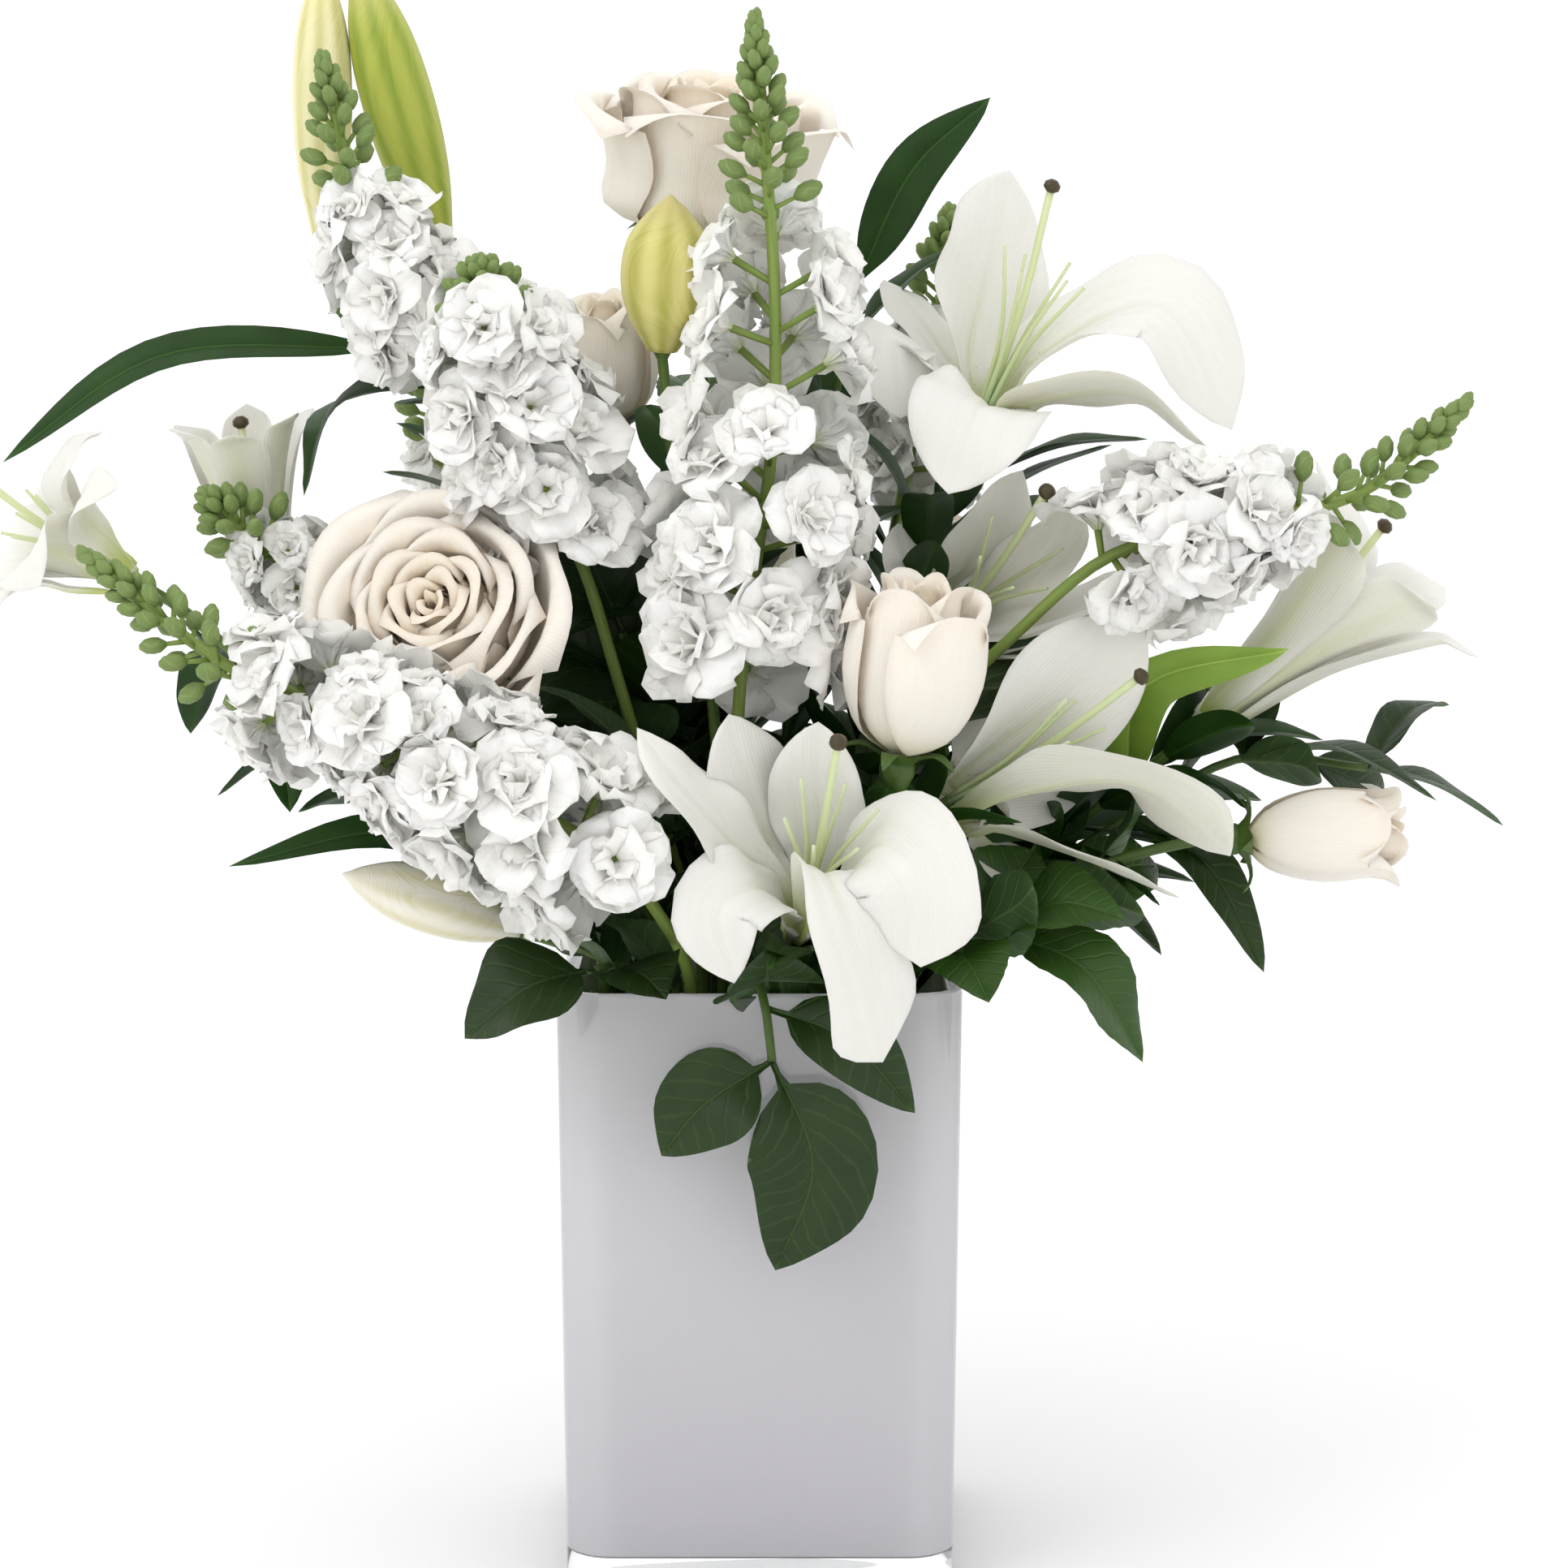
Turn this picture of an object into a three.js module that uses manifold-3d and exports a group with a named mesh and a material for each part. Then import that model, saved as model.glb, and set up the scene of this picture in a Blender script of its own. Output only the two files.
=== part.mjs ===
// White lilies, stocks and roses with salal, ruscus and rose leaves, in a square vase of white glass.
// Millimetres, +Z up. The origin is the middle of the vase's foot, and the bouquet faces -Y.
//
// Every petal, leaf and stem is lofted from rings of points along a smooth midline. What grows on
// one stem in one colour is fused into one solid. Blooms are placed first, then the stems, which
// bend round the blooms, then the leaves, which bend round everything.
import * as THREE from "three";
import { mergeVertices } from "three/addons/utils/BufferGeometryUtils.js";
import Module from "manifold-3d";

const wasm = await Module();
wasm.setup();

// ---------------------------------------------------------------- driving dimensions
const GAP = 0.3; // clearance between two solids that touch on the real thing
const NEAR_GAP = GAP - 0.02; // what a measured clearance must reach
const GOLDEN = 137.5; // degrees from one leaf, petal or floret to the next
const DEG = Math.PI / 180;

const VASE = { side: 127, height: 194, draft: 2, corner: 15, wall: 4.5, floor: 12 };
const LINING = 1; // the white layer on the inside of the clear glass
const WATER_TOP = 150;
const WELL = 0.8; // how much wider the hole in the water is than the stem in it
const FOOT_Z = VASE.floor + LINING + 3 * GAP; // where the stems stand
const STRAIGHT_Z = 160; // a stem runs straight from its foot to here
const MOUTH_Z = 198; // where a stem passes its own place in the vase's mouth
const FOOT_SHARE = 0.76; // how near the axis a stem's foot is, as a share of its place in the mouth

// A lily's stalk runs straight for `stalk` mm below the bloom and ends `nub` mm up inside it.
const LILY = { stem: 2.6, stalk: 18, socket: 3.45, plug: 9, nub: 13.6, filament: 54, pistil: 74 };
const BRANCH = 0.8 * LILY.stem;
// A rose's stem is straight from `straight` mm below the bloom and swells into the hip from `swell` mm.
const ROSE = { stem: 2.4, straight: 26, swell: 13, hip: 5.4, hipDepth: 5, neck: 4 };
const BUD_STALK = { straight: 16, neck: 3.4 };
const STOCK = { stem: 2.4, core: [0.8, 1, 0.85, 0.6] }; // the core's radius from foot to top, as shares

// ---------------------------------------------------------------- materials
const paint = (color, roughness = 0.6) =>
  new THREE.MeshStandardMaterial({ color, roughness, metalness: 0 });
const clear = (color, opacity) =>
  new THREE.MeshPhysicalMaterial({ color, roughness: 0.03, transparent: true, opacity });
const CLEAR_GLASS = clear(0xe9f1ee, 0.35);
const WATER = clear(0xdfe9e6, 0.4);
const WHITE_GLASS = paint(0xe9e9ee, 0.15);
const LILY_WHITE = paint(0xf3f1e8);
const STOCK_WHITE = paint(0xf6f6f0, 0.7);
const ROSE_CREAM = paint(0xf6ebd9);
const BUD_GREEN = paint(0xb9c45a);
const BUD_CREAM = paint(0xe6dfae);
const STEM_GREEN = paint(0x5f7f35);
const PALE_GREEN = paint(0x8fa553);
const LEAF_GREEN = paint(0x2f5128, 0.45);

// ---------------------------------------------------------------- points, curves and frames
const vec = (p) => (p.isVector3 ? p.clone() : new THREE.Vector3(...p));
const ahead = (from, direction, distance) => vec(from).addScaledVector(vec(direction), distance);
const curveThrough = (points) => new THREE.CatmullRomCurve3(points.map(vec), false, "catmullrom", 0.5);
const sideways = (v, along) => v.clone().addScaledVector(along, -v.dot(along)).normalize();

// A frame at a point: +Z along the axis, +X as near to straight up as it can be (or to the back,
// on an upright axis).
function frameAt(at, axis) {
  const z = vec(axis).normalize();
  const x = sideways(Math.abs(z.z) > 0.95 ? new THREE.Vector3(0, 1, 0) : new THREE.Vector3(0, 0, 1), z);
  const y = new THREE.Vector3().crossVectors(z, x);
  return new THREE.Matrix4().makeBasis(x, y, z).setPosition(vec(at));
}

const axisOf = (frame) => new THREE.Vector3(0, 0, 1).transformDirection(frame);
const placeOf = (frame) => new THREE.Vector3().setFromMatrixPosition(frame);

// The unit vector across a frame's axis at an angle in degrees from its +X.
function spoke(frame, degrees) {
  return new THREE.Vector3(Math.cos(degrees * DEG), Math.sin(degrees * DEG), 0).transformDirection(frame);
}

// The unit vector that leans from the axis towards a spoke by an angle in degrees.
function lean(axis, out, degrees) {
  const angle = degrees * DEG;
  return vec(axis).multiplyScalar(Math.cos(angle)).addScaledVector(vec(out), Math.sin(angle));
}

// A midline of equal steps that lean from the axis towards a spoke by each angle in turn.
function leaning(start, axis, out, length, angles) {
  const points = [vec(start)];
  const step = length / angles.length;
  for (const angle of angles) points.push(ahead(points.at(-1), lean(axis, out, angle), step));
  return points;
}

// A piece of the layout, with its axis as a unit vector.
const unit = (piece) => ({ ...piece, axis: vec(piece.axis).normalize() });

const between = ([from, to], share) => from + (to - from) * share;
const evenly = (from, to, count) =>
  Array.from({ length: count }, (_, i) => from + ((to - from) * i) / (count - 1));

// ---------------------------------------------------------------- lofted solids
// A closed skin over rings of equally many points. A ring of one point is a pointed end, and any
// other end is capped. From ring place `turnover` on, the faces are split along the other diagonal,
// so that a thin blade's two faces are split alike.
function loft(rings, turnover = Infinity) {
  const starts = rings.map((_, i) => rings.slice(0, i).reduce((sum, ring) => sum + ring.length, 0));
  const index = [];
  for (let i = 0; i + 1 < rings.length; i++) {
    const count = Math.max(rings[i].length, rings[i + 1].length);
    const corner = (ring, j) => starts[ring] + (rings[ring].length > 1 ? j % count : 0);
    for (let j = 0; j < count; j++) {
      const [a, b, c, d] = [corner(i, j), corner(i, j + 1), corner(i + 1, j + 1), corner(i + 1, j)];
      if (a === b) index.push(a, c, d);
      else if (c === d) index.push(a, b, c);
      else if (j < turnover) index.push(a, b, c, a, c, d);
      else index.push(a, b, d, b, c, d);
    }
  }
  for (let j = 1; j + 1 < rings[0].length; j++) index.push(0, j + 1, j);
  const end = starts.at(-1);
  for (let j = 1; j + 1 < rings.at(-1).length; j++) index.push(end, end + j, end + j + 1);
  return solid(new THREE.BufferGeometry().setFromPoints(rings.flat()).setIndex(index));
}

// The solid of a closed geometry, with its faces turned out.
function solid(geometry) {
  const merged = mergeVertices(geometry, 1e-4);
  const index = new Uint32Array(merged.index.array);
  const corners = { numProp: 3, vertProperties: merged.attributes.position.array };
  const shaped = () => new wasm.Manifold(new wasm.Mesh({ ...corners, triVerts: index }));
  const first = shaped();
  if (first.volume() > 0) return first;
  index.reverse();
  return shaped();
}

// The one body that is left when scraps and sealed hollows are dropped. A dropped piece that is
// larger than a scrap is a fault in the layout.
const SCRAP = 2; // mm3
const problems = []; // what found no clear place, or fell off in a join

function whole(name, joined) {
  const bodies = joined.decompose().sort((a, b) => b.volume() - a.volume());
  const dropped = bodies.slice(1).filter((body) => body.volume() > SCRAP);
  if (dropped.length) problems.push(`${name} drops ${dropped.length}`);
  return bodies[0];
}
const fuse = (name, solids) => whole(name, wasm.Manifold.union(solids));

// A round stem over its own centre points, with a radius at each.
function tube(centres, radii, sides = 4) {
  let normal = new THREE.Vector3(0.3, 1, 0.2);
  const rings = centres.map((at, i) => {
    const [before, after] = [centres[i - 1] ?? at, centres[i + 1] ?? at];
    const along = after.clone().sub(before).normalize();
    normal = sideways(normal, along);
    if (!radii[i]) return [at];
    const across = new THREE.Vector3().crossVectors(along, normal);
    return evenly(0, 2 * Math.PI, sides + 1).slice(0, sides).map((angle) =>
      ahead(ahead(at, normal, radii[i] * Math.cos(angle)), across, radii[i] * Math.sin(angle)),
    );
  });
  return loft(rings);
}

// A petal or leaf: a thin lens along a midline, with a full width at each of its evenly spaced
// stations. `face` is the way its upper side looks at the root. `cup` lifts the edges (as a share
// of the half width), `wave` ripples them (in mm), and `roll` turns the blade about its midline.
function blade({ path, face, widths, thick = 1.5, cup = 0, cups, wave = 0, ripples = 1.5, roll = [0, 0] }) {
  const curve = curveThrough(path);
  let normal = vec(face);
  const rings = widths.map((width, i) => {
    const u = i / (widths.length - 1);
    const at = curve.getPointAt(u);
    const along = curve.getTangentAt(u);
    normal = sideways(normal, along);
    if (!width) return [at];
    const up = normal.clone().applyAxisAngle(along, (roll[0] + (roll[1] - roll[0]) * u) * DEG);
    const side = new THREE.Vector3().crossVectors(along, up);
    const edge = (v) => {
      const ripple = wave * Math.sin(2 * Math.PI * ripples * u + (v > 0 ? 1.2 : 0));
      return ahead(ahead(at, side, (v * width) / 2), up, ((cups?.[i] ?? cup) * width) / 2 + ripple);
    };
    return [edge(-1), ahead(at, up, thick / 2), edge(1), ahead(at, up, -thick / 2)];
  });
  return loft(rings, 2);
}

// A petal that wraps round a flower's axis: at each station a distance from the axis, a height up it
// and half the angle that it covers. `root` is the distance and height of the point where it
// starts. A station that covers nothing ends it in a tip, and any other last one in a blunt lip.
const WRAP_PLACES = [-1, -0.33, 0.33, 1];
function wrappedPetal(frame, turn, root, stations, thick = 1.3) {
  const rings = stations.map(([radius, height, cover]) => {
    const point = (v, lift) => {
      const [angle, r] = [(turn + v * cover) * DEG, radius + lift];
      return new THREE.Vector3(r * Math.cos(angle), r * Math.sin(angle), height).applyMatrix4(frame);
    };
    if (!cover) return [point(0, 0)];
    const [left, , , right] = WRAP_PLACES.map((v) => point(v, 0));
    const [inside, outside] = [-thick / 2, thick / 2].map((lift) =>
      WRAP_PLACES.slice(1, 3).map((v) => point(v, lift)),
    );
    return [left, ...inside, right, ...outside.reverse()];
  });
  const foot = ahead(ahead(placeOf(frame), axisOf(frame), root[1]), spoke(frame, turn), root[0]);
  return loft([[foot], ...rings], 3);
}

// ---------------------------------------------------------------- staying clear of each other
const placed = []; // { name, solid, material, root } of all that is in place

function isClear(candidate, own = []) {
  const box = candidate.boundingBox();
  const apart = (b) => [0, 1, 2].some((k) => box.min[k] > b.max[k] + 1 || box.max[k] < b.min[k] - 1);
  return placed.every(
    ({ name, solid: other }) =>
      own.includes(name) || apart(other.boundingBox()) || candidate.minGap(other, 1) >= NEAR_GAP,
  );
}

function place(name, finished, material, root, own = []) {
  if (!isClear(finished, own)) problems.push(`${name} touches another solid`);
  placed.push({ name, solid: finished, material, root: vec(root) });
}

// The first of several ways to shape a piece that is clear of what stands already.
function firstClear(name, ways, shape, own = []) {
  for (const way of ways) {
    const candidate = shape(way);
    if (isClear(candidate, own)) return { way, solid: candidate };
  }
  problems.push(`${name} found no clear place`);
  return null;
}

const solidsOf = (found) => found.filter((each) => each).map((each) => each.solid);

// ---------------------------------------------------------------- vase and water
// A closed block with the vase's rounded plan, inset from the outside of the glass.
function vaseBlock(inset, low, high) {
  const r = VASE.corner - inset;
  const rings = [low, high].map((z) => {
    const h = VASE.side / 2 - inset - VASE.draft * (1 - z / VASE.height);
    return [0, 90, 180, 270].flatMap((turn) =>
      evenly(turn, turn + 90, 4).map((angle) => {
        const corner = new THREE.Vector2(h - r, h - r).rotateAround(new THREE.Vector2(), turn * DEG);
        const [x, y] = [r * Math.cos(angle * DEG), r * Math.sin(angle * DEG)];
        return new THREE.Vector3(corner.x + x, corner.y + y, z);
      }),
    );
  });
  return loft(rings);
}

const ABOVE_VASE = VASE.height + 10;
const LINING_INSET = VASE.wall + GAP;
const LINING_TOP = VASE.height - 1;
const glass = vaseBlock(0, 0, VASE.height).subtract(vaseBlock(VASE.wall, VASE.floor, ABOVE_VASE));
const lining = vaseBlock(LINING_INSET, VASE.floor + GAP, LINING_TOP).subtract(
  vaseBlock(LINING_INSET + LINING, VASE.floor + GAP + LINING, ABOVE_VASE),
);
place("vase_glass", glass, CLEAR_GLASS, [0, 0, 0]);
place("vase_lining", lining, WHITE_GLASS, [0, 0, 0]);

// ---------------------------------------------------------------- lilies
// Each kind of tepal starts at a seat, [distance from the axis, height up it], and its throat lies
// THROAT mm further up and `flare` mm further out. `open` is how it leans from there to its tip.
const THROAT = 12;
const TEPAL = {
  wide: {
    widths: [4, 19, 40, 39, 0], cups: [0.3, 0.45, 0.2, 0.1, 0],
    seat: [4.4, 1.5], flare: 1.6, open: [6, 20, 42, 66, 96, 128],
  },
  slim: {
    widths: [4, 14, 29, 27, 0], cups: [0, 0, 0, 0, 0],
    seat: [5.6, 3.5], flare: 6.5, open: [16, 34, 56, 78, 104, 132],
  },
};
const byTurns = (i) => (i % 2 ? TEPAL.slim : TEPAL.wide);

// Six tepals that lean out alike, three wide ones and three slim ones by turns.
const sixTepals = (length, first, wide) =>
  evenly(0, 5, 6).map((i) => ({
    turn: first + 60 * i, leans: byTurns(i).open, length: length - 3 * (i % 3), slim: i % 2 === 1, wide,
  }));

const LILIES = {
  lily_front: {
    base: [12, -62, 213], axis: [0.15, -0.7, 0.7], mouth: [10, -44],
    tepals: [
      { via: [[-6, -88, 243], [-24, -100, 266], [-36, -100, 282]] },
      { via: [[2, -72, 246], [-5, -80, 268], [-9, -84, 284]], slim: true, wide: 1.15 },
      { via: [[18, -72, 246], [17, -80, 264], [18, -86, 282]], slim: true },
      { via: [[0, -100, 234], [-12, -110, 228], [-7, -112, 207]], wide: 0.95 },
      { via: [[20, -108, 240], [29, -122, 218], [37, -116, 184]], wide: 1.05 },
      { via: [[35, -102, 247], [47, -118, 240], [48, -118, 213]], wide: 1 },
    ],
  },
  lily_low_right: {
    base: [50, -38, 246], axis: [0.8, -0.35, 0.45], mouth: [24, -28],
    tepals: [
      { via: [[72, -46, 268], [97, -50, 288], [119, -46, 308]], wide: 1.05, roll: [0, -75] },
      { via: [[80, -54, 256], [116, -62, 260], [146, -54, 236]] },
      { via: [[76, -50, 244], [106, -54, 234], [131, -48, 222]], slim: true },
      { via: [[66, -26, 266], [82, -16, 280], [98, -14, 290]], slim: true },
      { via: [[68, -24, 256], [88, -12, 256], [106, -6, 252]] },
      { via: [[68, -34, 240], [84, -36, 226], [94, -36, 208]], slim: true },
    ],
  },
  lily_top_right: {
    base: [67, 0, 360], axis: [0.36, -0.24, 0.9], mouth: [14, 14],
    tepals: [
      { via: [[67, 5, 392], [74, 12, 420], [80, 18, 447]], wide: 1.15 },
      { via: [[90, -6, 390], [126, -12, 404], [148, -22, 366]], wide: 1.1 },
      { via: [[88, -24, 376], [116, -36, 378], [138, -42, 362]], slim: true, wide: 1.3 },
      { via: [[72, -28, 374], [66, -46, 372], [58, -52, 348]] },
      { via: [[56, -14, 384], [42, -20, 394], [44, -32, 370]], slim: true },
      { via: [[58, 10, 390], [48, 18, 404], [40, 26, 412]], slim: true },
    ],
  },
  lily_right: {
    base: [56, 10, 296], axis: [0.4, -0.75, 0.52], mouth: [22, -6], leafRoots: [-3, -5],
    tepals: [
      { via: [[66, -8, 322], [76, -14, 338], [83, -14, 353]], slim: true, wide: 1.1 },
      { via: [[78, -14, 314], [92, -18, 328], [100, -14, 342]], wide: 0.8 },
      { via: [[84, -24, 304], [114, -26, 314], [142, -14, 320]], wide: 1.05 },
      { via: [[80, -28, 296], [104, -34, 299], [124, -30, 301]], slim: true },
      { via: [[50, -8, 314], [46, -12, 324], [44, -10, 336]], slim: true },
      { via: [[50, -10, 288], [42, -16, 280], [36, -18, 270]], slim: true },
    ],
  },
  lily_far_right: {
    base: [142, 0, 270], axis: [0.72, -0.15, 0.68], mouth: [48, 10], trumpet: 88, flare: 1.1,
    leaves: [
      { at: -3, tip: [166, -32, 298], bow: [-20, -10, 12], kind: "lance", wide: 1.2, face: [0, -1, 0.3] },
    ],
  },
  lily_back: {
    base: [-18, 74, 268], axis: [-0.1, 0.85, 0.5], mouth: [-6, 48],
    tepals: sixTepals(84, 30, 1),
  },
};

// Two lilies on one stem, which turn away to the left.
const LILY_PAIR = {
  lily_far_left: {
    base: [-203, 12, 316], axis: [-0.75, -0.3, 0.5], centre: 0.6,
    tepals: sixTepals(60, 0, 0.75),
  },
  lily_left: { base: [-161, 25, 308], axis: [-0.12, -0.1, 0.95], centre: 0.62, trumpet: 64, flare: 0.68 },
};

function tepal(frame, { turn, via, leans, length, slim, wide = 1, roll }) {
  const axis = axisOf(frame);
  const out = via ? sideways(vec(via[0]).sub(placeOf(frame)), axis) : spoke(frame, turn);
  const { widths, cups, seat, flare } = slim ? TEPAL.slim : TEPAL.wide;
  const root = ahead(ahead(placeOf(frame), axis, seat[1]), out, seat[0]);
  const throat = ahead(ahead(root, axis, THROAT), out, flare);
  const path = [root, throat, ...(via ?? leaning(throat, axis, out, length - THROAT, leans).slice(1))];
  const full = widths.map((width) => width * wide);
  return blade({ path, face: out.clone().negate(), widths: full, cups, wave: 1.2, roll });
}

// The six tepals of a half-open lily, rolled round each other into a trumpet.
function trumpetTepals(frame, length, flare) {
  return evenly(0, 5, 6).map((i) => {
    const [outer, reach] = i % 2 ? [2.4, 0.96] : [0, 1];
    const waist = [[5.5, 0.16, 46], [6 + 6 * flare, 0.52, 42]];
    const mouth = [[24 * flare, 0.85, 28], [31 * flare, 1, 0]];
    const stations = [...waist, ...mouth].map(([radius, share, cover]) =>
      [radius + outer, share * reach * length, cover]);
    return wrappedPetal(frame, 60 * i, byTurns(i).seat, stations);
  });
}

function lilyBloom({ name, base, axis, tepals, trumpet, flare }) {
  const frame = frameAt(base, axis);
  const plug = tube([vec(base), ahead(base, axis, LILY.plug)], [LILY.stem + 2.6, LILY.stem + 5.2], 6);
  const blades = trumpet ? trumpetTepals(frame, trumpet, flare) : tepals.map((each) => tepal(frame, each));
  const bloom = fuse(name, [plug, ...blades]);
  const socket = [-4, LILY.nub + 0.4].map((reach) => ahead(base, axis, reach));
  return whole(name, bloom.subtract(tube(socket, [LILY.socket, LILY.socket], 6)));
}

// Six filaments round a longer pistil with a knob, all grown from the end of the stalk. The florist
// has taken the anthers off. Each leans the first way that is clear of the tepals.
const FILAMENT_LEANS = [[8, 20], [5, 12], [2, 6], [0, 0]];
function lilyCentre({ name, base, axis, centre = 1 }) {
  const frame = frameAt(base, axis);
  const start = ahead(base, axis, LILY.nub - 1.5);
  const threads = evenly(0, 5, 6).map((i) => {
    const out = spoke(frame, 30 + 60 * i);
    const length = centre * (LILY.filament - 3 * (i % 2));
    return firstClear(`${name} filament ${i}`, FILAMENT_LEANS, (leans) =>
      tube(leaning(ahead(start, out, 1.4), axis, out, length, leans), [0, 0.95, 0], 3),
    );
  });
  const pistil = firstClear(`${name} pistil`, FILAMENT_LEANS, (leans) => {
    const halved = leans.map((angle) => angle / 2);
    const line = leaning(start, axis, spoke(frame, 0), centre * LILY.pistil, halved);
    const knob = [1, 3].map((reach) => ahead(line.at(-1), axis, reach));
    return tube([...line, ...knob], [1.3, 1.1, 1.1, 2.8, 1.8], 4);
  });
  return solidsOf([...threads, pistil]);
}

// A closed lily bud with three broad ribs.
const BUD_SHAPE = [0.4, 0.82, 1, 0.8, 0];
const BUDS = {
  bud_top_cream: { base: [-142, 35, 424], tip: [-141, 34, 516], radius: 9.5, color: BUD_CREAM },
  bud_top_green: { base: [-104, 40, 420], tip: [-130, 32, 517], radius: 11.5, color: BUD_GREEN },
  bud_centre: { base: [-30, -30, 391], tip: [-27, -37, 439], radius: 14, color: BUD_GREEN },
  bud_low_left: { base: [-76, -28, 208], tip: [-131, -38, 228], radius: 10.5, color: BUD_CREAM },
};

function lilyBud({ base, tip, radius }) {
  const along = vec(tip).sub(vec(base)).normalize();
  const frame = frameAt(base, along);
  const length = vec(tip).distanceTo(vec(base));
  const rings = BUD_SHAPE.map((share, i) => {
    const centre = ahead(base, along, (length * i) / (BUD_SHAPE.length - 1));
    if (!share) return [centre];
    return evenly(0, 5, 6).map((j) => {
      const rib = j % 2 ? 0.84 : 1.06;
      return ahead(centre, spoke(frame, 60 * j), radius * share * rib);
    });
  });
  return loft(rings);
}

// ---------------------------------------------------------------- roses
const ROSES = {
  rose_top: {
    base: [-18, 30, 426], axis: [0.08, -0.2, 1],
    radius: 38, height: 50, open: 0.75, petals: 8, mouth: [-8, 14],
  },
  rose_left: {
    base: [-92, -30, 298], axis: [-0.25, -0.8, 0.5],
    radius: 40, height: 42, open: 0.6, petals: 8, mouth: [-28, -30],
  },
  rose_centre: {
    base: [43, -70, 269], axis: [0.12, -0.1, 0.98],
    radius: 26, height: 58, open: 0.12, petals: 6, mouth: [27, -46],
  },
  rose_right: {
    base: [153, -25, 237], axis: [0.99, -0.08, 0.04],
    radius: 19.5, height: 53, open: 0.1, petals: 6, mouth: [46, -28],
  },
  rose_behind: {
    base: [-47, 18, 366], axis: [-0.1, -0.2, 0.97],
    radius: 21, height: 44, open: 0.2, petals: 6, mouth: [-18, 30],
  },
  rose_back: {
    base: [64, 76, 285], axis: [0.35, 0.6, 0.7],
    radius: 33, height: 44, open: 0.6, petals: 7, mouth: [32, 48],
  },
};

function roseBloom({ name, base, axis, radius, height, open, petals }) {
  const frame = frameAt(base, axis);
  const core = tube(evenly(0, 0.7 * height, 3).map((z) => ahead(base, axis, z)), [4.2, 0.2 * radius, 0], 5);
  const layers = evenly(0, 1, petals).map((out, i) => {
    const belly = radius * (0.26 + 0.6 * out);
    const top = height * (1 - 0.25 * open * out);
    const lip = belly * (0.7 + out * (0.2 + 0.5 * open));
    const cover = 64 - 16 * out;
    return wrappedPetal(frame, i * GOLDEN, [3 * out, 2.5 - 2 * out], [
      [belly * 0.72, 0.18 * top, cover * 0.9],
      [belly, 0.55 * top, cover],
      [lip, top, cover * 0.66],
    ]);
  });
  return fuse(name, [core, ...layers]);
}

// The five sepals under a rose, bent back. A larger bloom has longer ones.
const SEPAL = { first: 20, turn: 72, leans: [80, 110, 140], width: 7, length: 9, share: 0.4 };
function roseSepals({ base, axis, radius }) {
  const frame = frameAt(base, axis);
  return evenly(0, 4, 5).map((i) => {
    const out = spoke(frame, SEPAL.first + SEPAL.turn * i);
    const length = SEPAL.length + SEPAL.share * radius;
    const path = leaning(ahead(base, axis, -ROSE.hipDepth), axis, out, length, SEPAL.leans);
    return blade({ path, face: axis, widths: [0, SEPAL.width, 0], thick: 1.6, cup: 0.2 });
  });
}

// ---------------------------------------------------------------- stocks
// Each spike is a run of double florets up a stem that ends in green buds. `line` is the spike's own
// stretch of stem. The florets stand on it as far as `to`, a share of its length.
const STOCKS = {
  stock_centre: {
    line: [[-6, -56, 292], [-1, -53, 326], [5, -50, 375], [4, -46, 424], [-1, -45, 488]],
    florets: 11, to: 0.66, core: 17, size: 30, mouth: [-6, -30], buds: 9,
  },
  stock_left: {
    line: [[-56, -28, 326], [-72, -38, 362], [-80, -46, 390], [-84, -54, 414]],
    florets: 8, to: 0.82, core: 15, size: 28, mouth: [-20, 0], buds: 5,
  },
  stock_top_left: {
    line: [[-98, 2, 388], [-116, 0, 416], [-128, 2, 440], [-137, 4, 478]],
    florets: 5, to: 0.5, core: 10, size: 21, mouth: [-34, 14], buds: 6,
  },
  stock_front_left: {
    line: [
      [-38, -88, 238], [-81, -92, 262], [-123, -84, 283], [-158, -75, 294], [-184, -66, 314],
      [-203, -60, 328],
    ],
    florets: 11, to: 0.62, core: 14, size: 28, mouth: [-22, -50], buds: 8,
  },
  stock_behind_left: {
    line: [[-136, 8, 300], [-148, 2, 316], [-160, -4, 330], [-173, -8, 342]],
    florets: 4, to: 0.6, core: 8, size: 17, mouth: [-44, -12], buds: 5,
  },
  stock_right: {
    line: [[104, -50, 326], [141, -52, 338], [166, -48, 343], [190, -42, 350], [216, -38, 373]],
    florets: 5, to: 0.46, core: 10, size: 23, mouth: [38, -12], buds: 7,
  },
  stock_back_right: {
    line: [[46, 56, 338], [54, 62, 372], [60, 60, 404], [62, 56, 430]],
    florets: 4, to: 0.6, core: 9, size: 20, mouth: [26, 30], buds: 6,
  },
  stock_back_left: {
    line: [[-70, 58, 264], [-90, 76, 306], [-104, 86, 344], [-116, 92, 388]],
    florets: 5, to: 0.7, core: 10, size: 21, mouth: [-40, 50], buds: 6,
  },
};

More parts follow.
